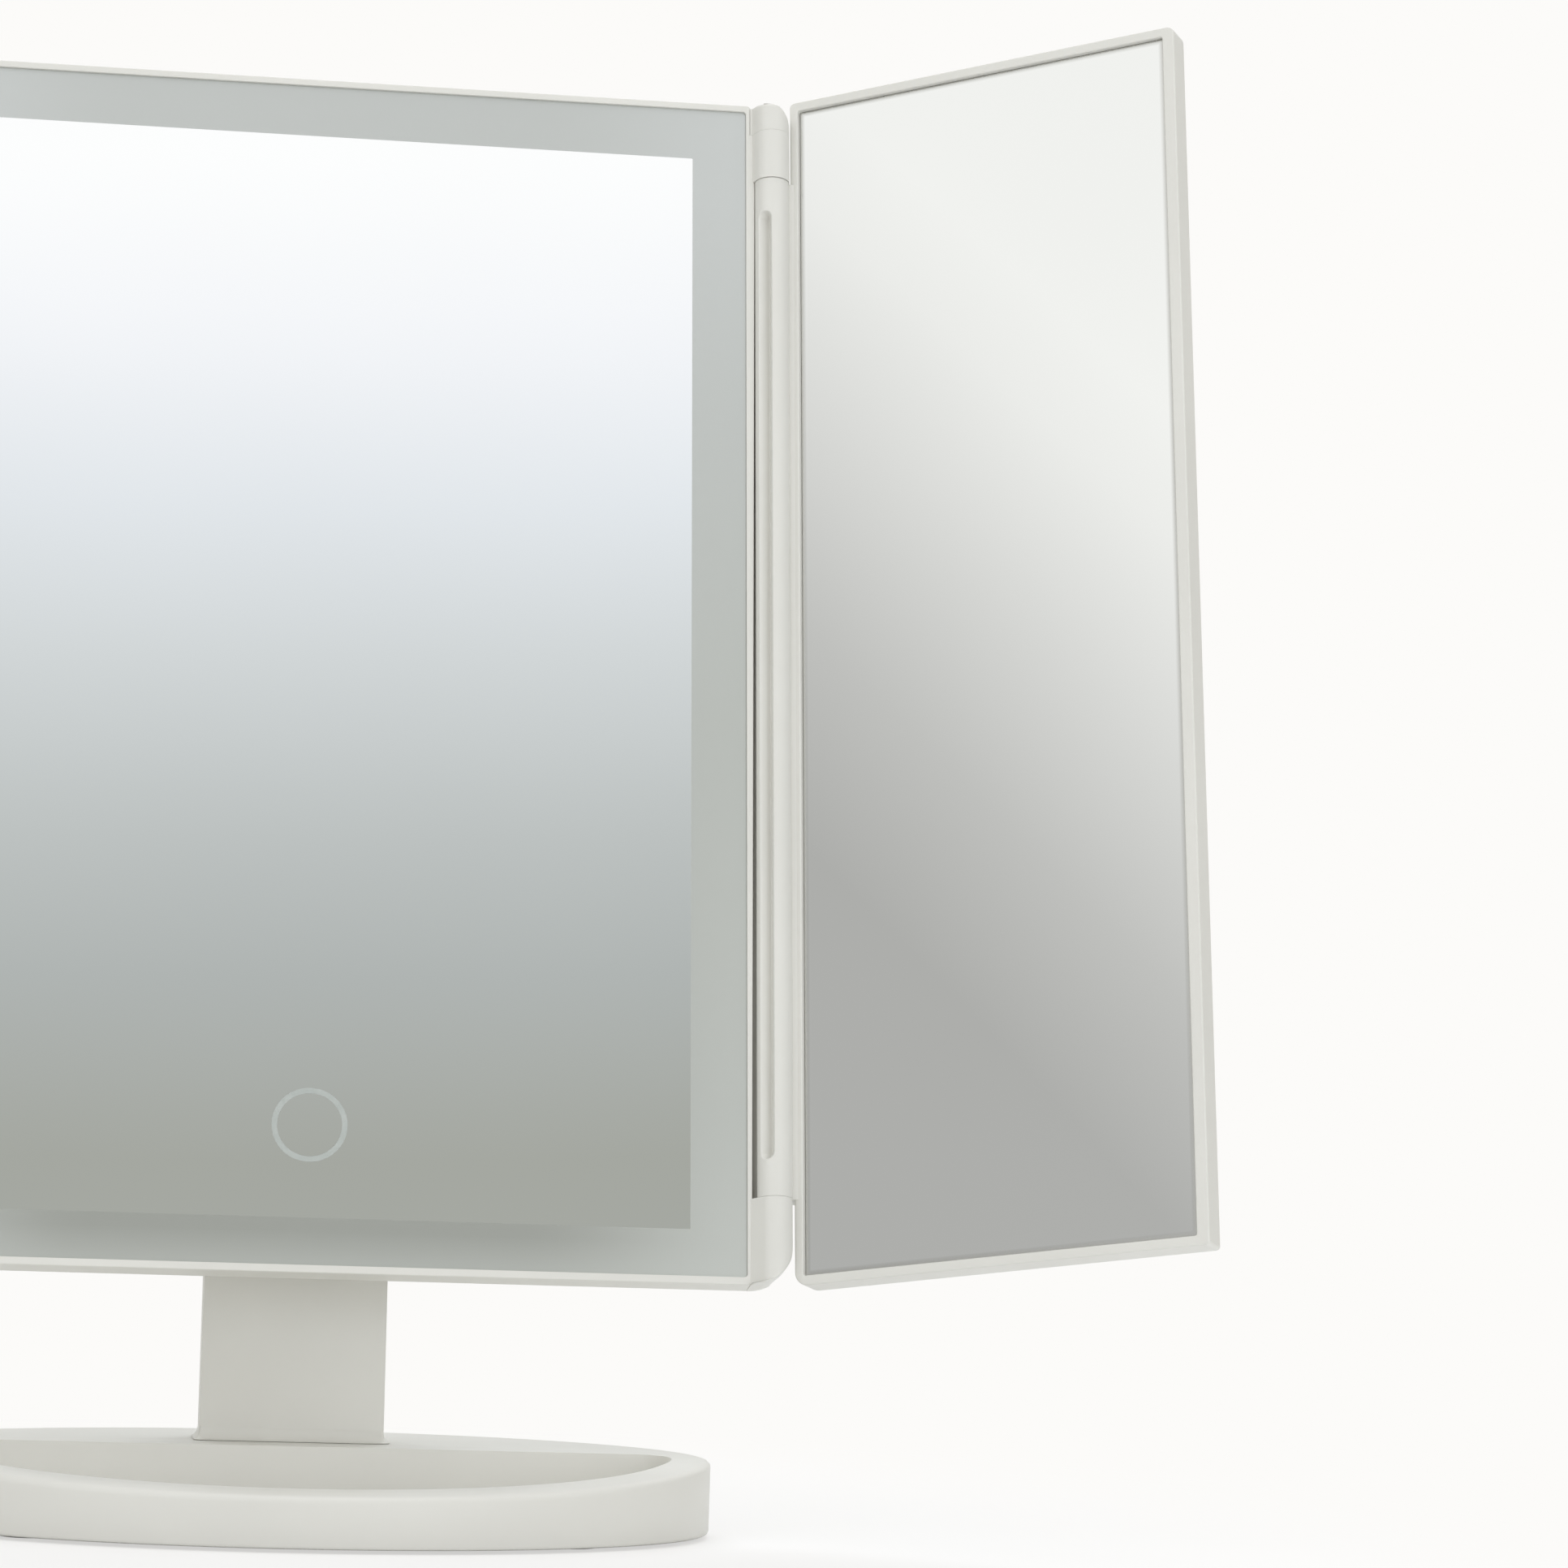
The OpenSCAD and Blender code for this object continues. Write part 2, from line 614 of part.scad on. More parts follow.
module rear_cover() color(off_white) in_panel() difference() {
  union() {
    difference() {
      union() {
        slab(plate_front, edge_t)
          centred_rect(half_w - 1.4 - fit, 1.4 + fit, centre_h - 1.4 - fit, 2);
        pod_form(0, pod_depth);
        snaps(0);
      }
      pod_form(pod_wall, pod_depth - pod_wall);
      slab(plate_front - 1, plate_front + 2)
        centred_rect(pod_x - pod_wall, pod_z0 + pod_wall, pod_z1 - pod_wall, 10);
    }
    // posts for the control board, with staked ends
    at_board_posts() {
      translate([0, 0, board_y + board_t]) cylinder(r = 2.8, h = pod_depth - pod_wall - board_y);
      translate([0, 0, board_y - 0.6]) cylinder(r = 1.5, h = 4);
    }
  }
  // battery window, socket opening and screw holes
  slab(pod_depth - 5, pod_depth + 5) centred_rect(door_x, door_z0, door_z1, 1.5);
  translate([usb_x, usb_y, pod_z0 + 1]) cube([9.6, 4, 6], center = true);
  at_bracket_screws(pod_depth - 4) cylinder(r = 1.05, h = 8);
}

// ---- tilt hinge on the back of the pod
lug_in = neck_w / 2 + 0.8;
lug_out = lug_in + 4.2;
module tilt_bracket() color([0.80, 0.81, 0.79]) in_panel() difference() {
  union() {
    slab(pod_depth, pod_depth + bracket_t) centred_rect(bracket_x, bracket_z[0], bracket_z[1], 4);
    both_sides() translate([lug_in, 0, 0]) rotate([90, 0, 90]) linear_extrude(lug_out - lug_in) union() {
      translate([pivot_d, pivot_v]) circle(7.5);
      polygon([
        [pod_depth, bracket_z[0] + 3], [pivot_d + 1.3, pivot_v - 7.4], [pivot_d, pivot_v],
        [pivot_d + 1.3, pivot_v + 7.4], [pod_depth, bracket_z[1] - 3]
      ]);
    }
  }
  translate([-40, pivot_d, pivot_v]) rotate([0, 90, 0]) cylinder(r = pin_r, h = 80);
  at_bracket_screws(pod_depth - 1) cylinder(r = 1.05, h = 8);
}

module bracket_screws() color(steel) in_panel()
  at_bracket_screws(pod_depth + bracket_t) screw(1.05, 6, 2.1);

module pivot_pin() color(steel) in_panel()
  translate([-lug_out, pivot_d, pivot_v]) rotate([0, 90, 0]) cylinder(r = pin_r, h = 2 * lug_out);

module pivot_washers() color([0.35, 0.35, 0.36]) in_panel()
  both_sides() translate([lug_in - 0.5, pivot_d, pivot_v]) rotate([0, 90, 0]) difference() {
    cylinder(r = 6.5, h = 0.5);
    translate([0, 0, -1]) cylinder(r = pin_r, h = 3);
  }

module pivot_caps() color(off_white) in_panel()
  both_sides() translate([lug_out, pivot_d, pivot_v]) rotate([0, 90, 0])
    rotate_extrude() polygon([[0, 0], [5.2, 0], [5.2, 0.8], [4.6, 1.5], [3, 1.8], [0, 1.8]]);

// ---- batteries and their door
cell_r = 7.1;
cell_len = 50.2;
cell_pitch = 14.8;
cell_y = 13.2;
cell_cols = [-1.5, -0.5, 0.5, 1.5];
case_wall = 1.2;
case_y = [5, pod_depth - pod_wall];
contact_t = 0.4;
spring_h = door_z1 - door_z0 - 2 * contact_t - cell_len;
tongue_x = cell_pitch;            // the door's tongues lie between the cells
tongue_y = pod_depth - pod_wall - 1.6;

module battery_case() color([0.86, 0.86, 0.84]) in_panel() difference() {
  slab(case_y[0], case_y[1])
    centred_rect(door_x + case_wall, door_z0 - case_wall, door_z1 + case_wall, 1);
  slab(case_y[0] + 1, case_y[1] + 1) centred_rect(door_x, door_z0, door_z1, 0.6);
  both_sides() translate([tongue_x - 4, tongue_y - 0.9, door_z0 - 2]) cube([8, 5, 4]);
}

// Every second cell is turned round, with its spring at the other end.
module at_cells() {
  for (i = [0 : 3]) translate([cell_cols[i] * cell_pitch, cell_y, (door_z0 + door_z1) / 2])
    rotate([i % 2 == 0 ? 0 : 180, 0, 0]) translate([0, 0, spring_h / 2]) children();
}

module battery_cells() color([0.20, 0.42, 0.30]) in_panel() at_cells()
  rotate_extrude() polygon([
    [0, -cell_len / 2], [cell_r - 0.6, -cell_len / 2], [cell_r, 0.6 - cell_len / 2],
    [cell_r, cell_len / 2 - 1.6], [cell_r - 0.6, cell_len / 2 - 1], [2.7, cell_len / 2 - 1],
    [2.7, cell_len / 2], [0, cell_len / 2]
  ]);

module battery_contacts() color([0.80, 0.79, 0.72]) in_panel()
  for (z = [door_z0, door_z1 - contact_t], column = cell_cols)
    translate([column * cell_pitch - 5.5, cell_y - 5.5, z]) cube([11, 11, contact_t]);

// A conical contact spring: one unbroken wire that climbs from the plate to the cell.
spring_turns = 3;
wire_r = 0.4;
module coil(height, r_low, r_high) {
  sides = 6;
  steps = 8 * spring_turns;
  rise = height - 2 * wire_r;
  function wire_point(k, s) = let (
      f = k / steps, a = 360 * spring_turns * f, b = 360 * s / sides,
      r = r_low + (r_high - r_low) * f + wire_r * cos(b))
    [r * cos(a), r * sin(a), wire_r + rise * f + wire_r * sin(b)];
  skin = [for (k = [0 : steps - 1], s = [0 : sides - 1]) let (t = (s + 1) % sides)
    [(k + 1) * sides + s, (k + 1) * sides + t, k * sides + t, k * sides + s]];
  polyhedron(
    [for (k = [0 : steps], s = [0 : sides - 1]) wire_point(k, s)],
    concat(skin, [[for (s = [0 : sides - 1]) s], [for (s = [sides - 1 : -1 : 0]) steps * sides + s]])
  );
}

module battery_springs() color(steel) in_panel() at_cells()
  translate([0, 0, -cell_len / 2 - spring_h]) coil(spring_h, 4.4, 2.6);

module battery_wires() color([0.75, 0.15, 0.12]) in_panel()
  for (x = [-18, -14]) translate([x, board_y + board_t + 0.7, board_z[1] - 5])
    cylinder(r = 0.7, h = door_z0 - case_wall - board_z[1] + 5, $fn = 24);

module battery_door() color(off_white) in_panel() {
  difference() {
    slab(pod_depth - pod_wall, pod_depth)
      centred_rect(door_x - door_gap, door_z0 + door_gap, door_z1 - door_gap, 1.2);
    // finger notch over the latch and grip lines
    slab(pod_depth - 0.8, pod_depth + 1) translate([0, door_z1 - 9]) circle(6);
    for (i = [0 : 3]) translate([-7, pod_depth - 0.4, door_z0 + 10 + i * 2.4]) cube([14, 1, 1]);
  }
  // tongues that hook behind the lower edge of the window
  both_sides() translate([tongue_x - 3, tongue_y, door_z0 - 1.6]) cube([6, 1.2, 4]);
  both_sides() translate([tongue_x - 3, tongue_y, door_z0 + 0.9]) cube([6, 1.6 + eps, 1.5]);
}

// ---- electronics
module at_board_posts() {
  for (x = [-36, 36], z = [board_z[0] + 4, board_z[1] - 4])
    translate([x, 0, z]) rotate([-90, 0, 0]) children();
}

module control_board() color([0.08, 0.36, 0.22]) in_panel() difference() {
  slab(board_y, board_y + board_t) centred_rect(40, board_z[0], board_z[1], 1.5);
  at_board_posts() cylinder(r = 1.6, h = 20);
}

module board_parts() color([0.15, 0.15, 0.16]) in_panel() translate([0, board_y + board_t, 0]) {
  translate([-4, 0, 100]) cube([7, 1.2, 7]);                    // controller
  translate([-24, 0, 100]) cube([6, 2.2, 6]);                   // driver coil
  translate([12, 0, 96]) rotate([-90, 0, 0]) cylinder(r = 3.2, h = 8);
  translate([-21, 0, 110]) cube([10, 5, 5]);                    // battery plug
  for (i = [0 : 4]) translate([-26 + i * 5, 0, 80]) cube([2, 0.8, 1.2]);
}

module usb_socket() color(steel) in_panel() difference() {
  translate([usb_x - 4.5, usb_y - 1.6, pod_z0 + pod_wall]) cube([9, 3.2, 7.4]);
  translate([usb_x - 4.1, usb_y - 1.2, pod_z0]) cube([8.2, 2.4, 8]);
}

// Flat ribbons behind the reflector: from the touch sensor and from the lamps to the board.
ribbon_y = guide_back + 0.35;
ribbon_t = 0.25;
ribbon_top = board_z[0] + 2;
module sensor_ribbon() color([0.85, 0.55, 0.25]) in_panel() across(4) polygon([
  [ribbon_y, ring_v - 3], [ribbon_y + ribbon_t, ring_v - 3],
  [ribbon_y + ribbon_t, ribbon_top - ribbon_t], [board_y, ribbon_top - ribbon_t],
  [board_y, ribbon_top], [ribbon_y, ribbon_top]
]);

module led_ribbon() color([0.85, 0.55, 0.25]) in_panel() translate([20, 0, 0]) across(3) polygon([
  [strip_back, strip_z0 + 0.05], [ribbon_y + ribbon_t, strip_z0 + 0.05],
  [ribbon_y + ribbon_t, ribbon_top - ribbon_t], [board_y, ribbon_top - ribbon_t],
  [board_y, ribbon_top], [ribbon_y, ribbon_top], [ribbon_y, strip_z0 + 0.05 + strip_t],
  [strip_back, strip_z0 + 0.05 + strip_t]
]);

// ============================================================ wings
wing_front = 2.4;                 // the wing's face lies this far behind the hinge axis
wing_back_y = wing_front + edge_t;
wing_x0 = 3.45;                   // hinge-side edge of the wing's casing, from the axis
window_x = [5.47, wing_reach - 2.78];
window_z = [2.16, wing_h - 2.18];
wing_glass_y = wing_front + 1.1;
wing_glass_t = 2;
back_t = 1.8;
barrel_z = [ear_low_v + seam, ear_top_v - seam];
groove_z = [27, 247];
bush_r = 2.1;
bush_len = 5.5;
pin_bore = 12.5;                  // depth of the bore for a pin at each end of the barrel

// The round groove's cutter, turned about a line on the face of the barrel.
function groove_profile() = concat(
  [for (a = [0 : 22.5 : 90]) [groove_r * sin(a), groove_z[0] + groove_r * (1 - cos(a))]],
  [for (a = [90 : -22.5 : 0]) [groove_r * sin(a), groove_z[1] - groove_r * (1 - cos(a))]]
);

module wing_frame() difference() {
  union() {
    slab(wing_front, wing_back_y) round_rect(wing_x0, 0, wing_reach, wing_h, [4.3, 1.5, 1.8, 1.2]);
    // slotted barrel and the web that carries it
    translate([0, 0, barrel_z[0]]) linear_extrude(barrel_z[1] - barrel_z[0]) {
      circle(barrel_r);
      polygon([
        [0, 0], [0, barrel_r], [2.2, wing_back_y], [wing_x0 + 1, wing_back_y],
        [wing_x0 + 1, wing_front]
      ]);
    }
  }
  slab(0, wing_back_y + 1) round_rect(window_x[0], window_z[0], window_x[1], window_z[1], [0.4, 0.4, 0.4, 0.4]);
  slab(wing_back_y - back_t, wing_back_y + 1)
    round_rect(wing_x0 + 1.1, 1.2, wing_reach - 1.2, wing_h - 1.2, [2.5, 1, 1, 1]);
  translate([0, -barrel_r, 0]) rotate_extrude() polygon(groove_profile());
  for (z = [barrel_z[0] - eps, barrel_z[1] - bush_len])
    translate([0, 0, z]) cylinder(r = bush_r, h = bush_len + eps);
  for (z = [barrel_z[0], barrel_z[1] - pin_bore])
    translate([0, 0, z]) cylinder(r = hinge_pin_r + 0.3, h = pin_bore);
}

module wing_mirror() slab(wing_glass_y, wing_glass_y + wing_glass_t)
  round_rect(window_x[0] + fit, window_z[0] + fit, window_x[1] - fit, window_z[1] - fit, [0.3, 0.3, 0.3, 0.3]);

module wing_foam() slab(wing_glass_y + wing_glass_t, wing_back_y - back_t)
  round_rect(window_x[0] + 3, window_z[0] + 3, window_x[1] - 3, window_z[1] - 3, [1, 1, 1, 1]);

module wing_back() slab(wing_back_y - back_t, wing_back_y)
  round_rect(wing_x0 + 1.1 + fit, 1.2 + fit, wing_reach - 1.2 - fit, wing_h - 1.2 - fit, [2.4, 1, 1, 1]);

// Sleeves pressed into both ends of the barrel; the pins turn in them.
module hinge_bushes() for (z = [barrel_z[0], barrel_z[1] - bush_len])
  translate([0, 0, z]) difference() {
    cylinder(r = bush_r, h = bush_len);
    translate([0, 0, -1]) cylinder(r = hinge_pin_r + run_gap, h = bush_len + 2);
  }

module right_wing_frame() color(off_white) in_wing(1) wing_frame();
module right_wing_mirror() color(silver) in_wing(1) wing_mirror();
module right_wing_foam() color([0.30, 0.30, 0.31]) in_wing(1) wing_foam();
module right_wing_back() color(off_white) in_wing(1) wing_back();
module right_hinge_bushes() color([0.92, 0.92, 0.88]) in_wing(1) hinge_bushes();
module left_wing_frame() color(off_white) in_wing(-1) wing_frame();
module left_wing_mirror() color(silver) in_wing(-1) wing_mirror();
module left_wing_foam() color([0.30, 0.30, 0.31]) in_wing(-1) wing_foam();
module left_wing_back() color(off_white) in_wing(-1) wing_back();
module left_hinge_bushes() color([0.92, 0.92, 0.88]) in_wing(-1) hinge_bushes();

base_shell();
base_bottom_cover();
base_screws();
ballast_plate();
rubber_feet();
neck_strut();
neck_front_shell();
neck_rear_cover();
neck_screws();
center_frame();
center_mirror();
frosted_light_band();
touch_ring();
touch_sensor();
sensor_ribbon();
led_ribbon();
light_guide();
reflector_sheet();
led_strip();
led_chips();
control_board();
board_parts();
usb_socket();
battery_case();
battery_cells();
battery_contacts();
battery_springs();
battery_wires();
rear_cover();
tilt_bracket();
bracket_screws();
pivot_pin();
pivot_washers();
pivot_caps();
right_hinge_pins();
left_hinge_pins();
right_hinge_cap();
left_hinge_cap();
right_wing_frame();
right_wing_mirror();
right_wing_foam();
right_wing_back();
right_hinge_bushes();
left_wing_frame();
left_wing_mirror();
left_wing_foam();
left_wing_back();
left_hinge_bushes();
battery_door();
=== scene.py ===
"""A lighted trifold vanity mirror of off-white moulded ABS on an oval tray base."""

import json
import math

import bmesh
import bpy
from mathutils import Matrix, Vector


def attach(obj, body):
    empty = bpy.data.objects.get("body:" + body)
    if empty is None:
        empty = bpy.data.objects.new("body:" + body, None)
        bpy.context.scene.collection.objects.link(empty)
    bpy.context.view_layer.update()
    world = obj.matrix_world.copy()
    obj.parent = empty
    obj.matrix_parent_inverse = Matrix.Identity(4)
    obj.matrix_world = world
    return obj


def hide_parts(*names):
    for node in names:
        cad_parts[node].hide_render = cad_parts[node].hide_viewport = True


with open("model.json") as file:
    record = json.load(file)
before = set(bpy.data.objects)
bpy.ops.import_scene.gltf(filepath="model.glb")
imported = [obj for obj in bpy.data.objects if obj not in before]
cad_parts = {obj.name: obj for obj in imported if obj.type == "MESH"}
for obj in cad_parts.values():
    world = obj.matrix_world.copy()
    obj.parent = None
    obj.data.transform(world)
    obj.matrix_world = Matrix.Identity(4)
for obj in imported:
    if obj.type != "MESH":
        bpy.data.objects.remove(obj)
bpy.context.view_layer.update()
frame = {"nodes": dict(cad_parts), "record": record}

NODES = frame["nodes"]
RECORD = frame["record"]
SLOT_OF = {part["node"]: part["material_slot"] for part in RECORD["subparts"]}
BODY_OF = {
    node: body
    for body, members in RECORD["behaviour"]["bodies"].items()
    for node in members
}
MM = 0.001

# ---------------------------------------------------------------- the camera

IMAGE_PX = 1932
FOCAL_PX = 6226.5
SENSOR_MM = 36.0
CAMERA_PLACE = Vector((-56.0, -1078.4, 98.0)) * MM
CAMERA_YAW = math.radians(8.2)
CAMERA_PITCH = math.radians(3.34)
CAMERA_ROLL = math.radians(1.94)
CLIP_START_M = 0.01


def into_scene(name, data):
    """An object that shows the data, linked into the scene."""
    thing = bpy.data.objects.new(name, data)
    bpy.context.scene.collection.objects.link(thing)
    return thing


def place_camera():
    """The camera as fitted to the photograph: its place, turn and focal length."""
    forward = Vector(
        (
            math.sin(CAMERA_YAW) * math.cos(CAMERA_PITCH),
            math.cos(CAMERA_YAW) * math.cos(CAMERA_PITCH),
            math.sin(CAMERA_PITCH),
        )
    )
    level = Vector((math.cos(CAMERA_YAW), -math.sin(CAMERA_YAW), 0))
    upward = level.cross(forward)
    right = level * math.cos(CAMERA_ROLL) + upward * math.sin(CAMERA_ROLL)
    top = upward * math.cos(CAMERA_ROLL) - level * math.sin(CAMERA_ROLL)
    data = bpy.data.cameras.new("photo_camera")
    data.sensor_width = SENSOR_MM
    data.lens = FOCAL_PX * SENSOR_MM / IMAGE_PX
    data.clip_start = CLIP_START_M
    camera = into_scene("photo_camera", data)
    turn = Matrix((right, top, -forward)).transposed().to_4x4()
    camera.matrix_world = Matrix.Translation(CAMERA_PLACE) @ turn
    bpy.context.scene.camera = camera


# ---------------------------------------------------------------- nodes and colours

# noise stays mostly between these levels
NOISE_LOW = 0.3
NOISE_HIGH = 0.7
# the output of a Mix node that carries a colour
MIX_COLOUR = 2
# at scale 1 a wave texture has its bands this many units apart
WAVE_PITCH = 2 * math.pi / 20


def linear(code):
    """An sRGB hex colour as a linear RGBA value."""
    parts = [int(code[i : i + 2], 16) / 255 for i in (1, 3, 5)]
    return [
        c / 12.92 if c <= 0.04045 else ((c + 0.055) / 1.055) ** 2.4 for c in parts
    ] + [1.0]


def add(tree, kind, inputs=None, **settings):
    """Adds a node. An input takes a plain value, or a socket that it is linked to."""
    node = tree.nodes.new(kind)
    for name, value in settings.items():
        setattr(node, name, value)
    for key, value in (inputs or {}).items():
        socket = node.inputs[key]
        if isinstance(value, bpy.types.NodeSocket):
            tree.links.new(value, socket)
        else:
            socket.default_value = value
    return node


def fill_ramp(node, stops):
    """Sets a colour ramp from (place, hex) pairs."""
    band = node.color_ramp
    for _ in range(len(stops) - len(band.elements)):
        band.elements.new(0.5)
    for element, (place, code) in zip(band.elements, stops):
        element.position = place
        element.color = linear(code)


def new_material(name, **values):
    """A material with a Principled shader, its sockets set by name, and the coordinates
    that its patterns follow."""
    material = bpy.data.materials.new(name)
    material.use_nodes = True
    tree = material.node_tree
    shader = tree.nodes["Principled BSDF"]
    for key, value in values.items():
        socket = key.upper() if key == "ior" else key.replace("_", " ").title()
        shader.inputs[socket].default_value = value
    place = add(tree, "ShaderNodeTexCoord").outputs["Object"]
    return material, tree, shader, place


def per_mm(size_mm):
    """The texture scale at which one cell measures size_mm on Object coordinates."""
    return 1 / (size_mm * MM)


def vary_colour(tree, shader, place, dark, light, size_mm, detail=3.0):
    """Base Color drifts between two near hex colours in soft patches."""
    noise = add(
        tree,
        "ShaderNodeTexNoise",
        {"Vector": place, "Scale": per_mm(size_mm), "Detail": detail},
    )
    ramp = add(tree, "ShaderNodeValToRGB", {"Fac": noise.outputs["Fac"]})
    fill_ramp(ramp, [(NOISE_LOW, dark), (NOISE_HIGH, light)])
    tree.links.new(ramp.outputs["Color"], shader.inputs["Base Color"])


def vary_roughness(tree, shader, place, low, high, size_mm):
    """Roughness drifts between two values in soft patches."""
    noise = add(
        tree,
        "ShaderNodeTexNoise",
        {"Vector": place, "Scale": per_mm(size_mm), "Detail": 2.0},
    )
    gloss = add(
        tree,
        "ShaderNodeMapRange",
        {"Value": noise.outputs["Fac"], "To Min": low, "To Max": high},
    )
    tree.links.new(gloss.outputs["Result"], shader.inputs["Roughness"])


def grain(tree, shader, place, size_mm, height_mm):
    """A fine moulded grain as a bump."""
    noise = add(
        tree,
        "ShaderNodeTexNoise",
        {"Vector": place, "Scale": per_mm(size_mm), "Detail": 1.0},
    )
    bump = add(
        tree,
        "ShaderNodeBump",
        {
            "Height": noise.outputs["Fac"],
            "Distance": height_mm * MM,
            "Strength": 1.0,
        },
    )
    tree.links.new(bump.outputs["Normal"], shader.inputs["Normal"])


# ---------------------------------------------------------------- materials

# roughness at the edge of a mirror pane
EDGE_ROUGHNESS = 0.45
# painted shade on the frosted band, standing in for the darker room it reflects: it fades out
# between these distances from the band's middle
PAINTED_SHADE_HALF_MM = (44, 98)


def satin_abs():
    # injection-moulded ABS in a bead-blasted tool: off-white, soft broad highlights
    material, tree, shader, place = new_material("satin_abs", ior=1.53)
    vary_colour(tree, shader, place, "#DAD9D3", "#DEDDD7", 45)
    vary_roughness(tree, shader, place, 0.34, 0.42, 12)
    grain(tree, shader, place, 0.4, 0.0015)
    return material


def underside_abs():
    # the same ABS with the coarser spark-eroded grain of a hidden face
    material, tree, shader, place = new_material("underside_abs", ior=1.53, roughness=0.6)
    vary_colour(tree, shader, place, "#C6C7C1", "#CBCCC6", 20)
    grain(tree, shader, place, 0.6, 0.02)
    return material


def inner_abs():
    # plain moulded inner parts: faint flow marks, no grain
    material, tree, shader, place = new_material("inner_abs", ior=1.53)
    vary_colour(tree, shader, place, "#D2D2CB", "#DADAD4", 15)
    vary_roughness(tree, shader, place, 0.42, 0.55, 8)
    return material


def silvered_glass():
    # float glass silvered on the back: a clean, barely cool reflection, with a dull dark
    # line along its edge: partly where the silvering stops short of a ground edge, partly a
    # painted shade of the casing's window wall beside it
    material, tree, shader, place = new_material("silvered_glass", metallic=1.0)
    noise = add(
        tree,
        "ShaderNodeTexNoise",
        {"Vector": place, "Scale": per_mm(90), "Detail": 1.0},
    )
    silver = add(tree, "ShaderNodeValToRGB", {"Fac": noise.outputs["Fac"]})
    fill_ramp(silver, [(NOISE_LOW, "#FCFDFC"), (NOISE_HIGH, "#FEFFFE")])
    edge = add(tree, "ShaderNodeAttribute", attribute_name="edge").outputs["Fac"]
    # the border colour: a dull ground edge, with painted shade of the casing's window wall
    colour = add(
        tree,
        "ShaderNodeMix",
        {"Factor": edge, "A": silver.outputs["Color"], "B": linear("#B4B3AC")},
        data_type="RGBA",
    )
    tree.links.new(colour.outputs[MIX_COLOUR], shader.inputs["Base Color"])
    dull = add(
        tree, "ShaderNodeMath", {0: edge, 1: EDGE_ROUGHNESS}, operation="MULTIPLY"
    )
    tree.links.new(dull.outputs["Value"], shader.inputs["Roughness"])
    return material


def etched_glass():
    # acid-etched window over a milky diffuser: grey-green, blurred gloss. Its colour carries a
    # painted reflection, paler at the bottom and the top than in between, and a painted shade
    # along the middle of its upper and lower runs
    material, tree, shader, place = new_material(
        "etched_glass", metallic=0.55, roughness=0.42
    )
    parts = add(tree, "ShaderNodeSeparateXYZ", {"Vector": place})
    climb = add(
        tree,
        "ShaderNodeMapRange",
        {
            "Value": parts.outputs["Z"],
            "From Min": PANEL_PLACE.z * MM,
            "From Max": (PANEL_PLACE.z + CENTRE_H) * MM,
        },
    )
    # painted reflection: the colour changes with height the way the reflected room does
    painted_tone_by_height = add(tree, "ShaderNodeValToRGB", {"Fac": climb.outputs["Result"]})
    fill_ramp(
        painted_tone_by_height,
        [
            (0.0, "#CED1CC"),
            (0.12, "#C7CAC5"),
            (0.45, "#C3C6C1"),
            (0.7, "#C8CBC8"),
            (0.88, "#CFD2D0"),
        ],
    )
    aside = add(
        tree, "ShaderNodeMath", {0: parts.outputs["X"]}, operation="ABSOLUTE"
    )
    middle = add(
        tree,
        "ShaderNodeMapRange",
        {
            "Value": aside.outputs["Value"],
            "From Min": PAINTED_SHADE_HALF_MM[0] * MM,
            "From Max": PAINTED_SHADE_HALF_MM[1] * MM,
            "To Min": 1.0,
            "To Max": 0.0,
        },
        interpolation_type="SMOOTHSTEP",
    )
    # painted shade by height: strongest along the lower run, weaker along the upper run
    depth = add(tree, "ShaderNodeValToRGB", {"Fac": climb.outputs["Result"]})
    fill_ramp(
        depth,
        [
            (0.0, "#A8A8A8"),
            (0.032, "#FFFFFF"),
            (0.5, "#000000"),
            (0.93, "#8C8C8C"),
        ],
    )
    shade = add(
        tree,
        "ShaderNodeMath",
        {0: middle.outputs["Result"], 1: depth.outputs["Color"]},
        operation="MULTIPLY",
    )
    # the painted shade darkens the band's colour towards a deep grey-green
    painted_shade_mix = add(
        tree,
        "ShaderNodeMix",
        {
            "Factor": shade.outputs["Value"],
            "A": painted_tone_by_height.outputs["Color"],
            "B": linear("#A9ABA5"),
        },
        data_type="RGBA",
    )
    tree.links.new(painted_shade_mix.outputs[MIX_COLOUR], shader.inputs["Base Color"])
    grain(tree, shader, place, 0.5, 0.006)
    return material


def etched_ring():
    # a finely etched line in the silvering, a shade lighter than the mirror round it
    material, tree, shader, place = new_material("etched_ring", roughness=0.5, ior=1.5)
    vary_colour(tree, shader, place, "#AEB4B0", "#B6BBB7", 3)
    return material


def zinc_steel():
    # zinc-plated steel screws: pale blue-grey with a soft, uneven gloss
    material, tree, shader, place = new_material("zinc_steel", metallic=1.0)
    vary_colour(tree, shader, place, "#B4B8BC", "#C6C9CC", 2)
    vary_roughness(tree, shader, place, 0.26, 0.4, 1.5)
    return material


def ground_steel():
    # ground steel pins: even grey with a close satin shine
    material, tree, shader, place = new_material("ground_steel", metallic=1.0)
    vary_colour(tree, shader, place, "#B9BBBE", "#C7C9CB", 4)
    vary_roughness(tree, shader, place, 0.16, 0.26, 0.8)
    return material


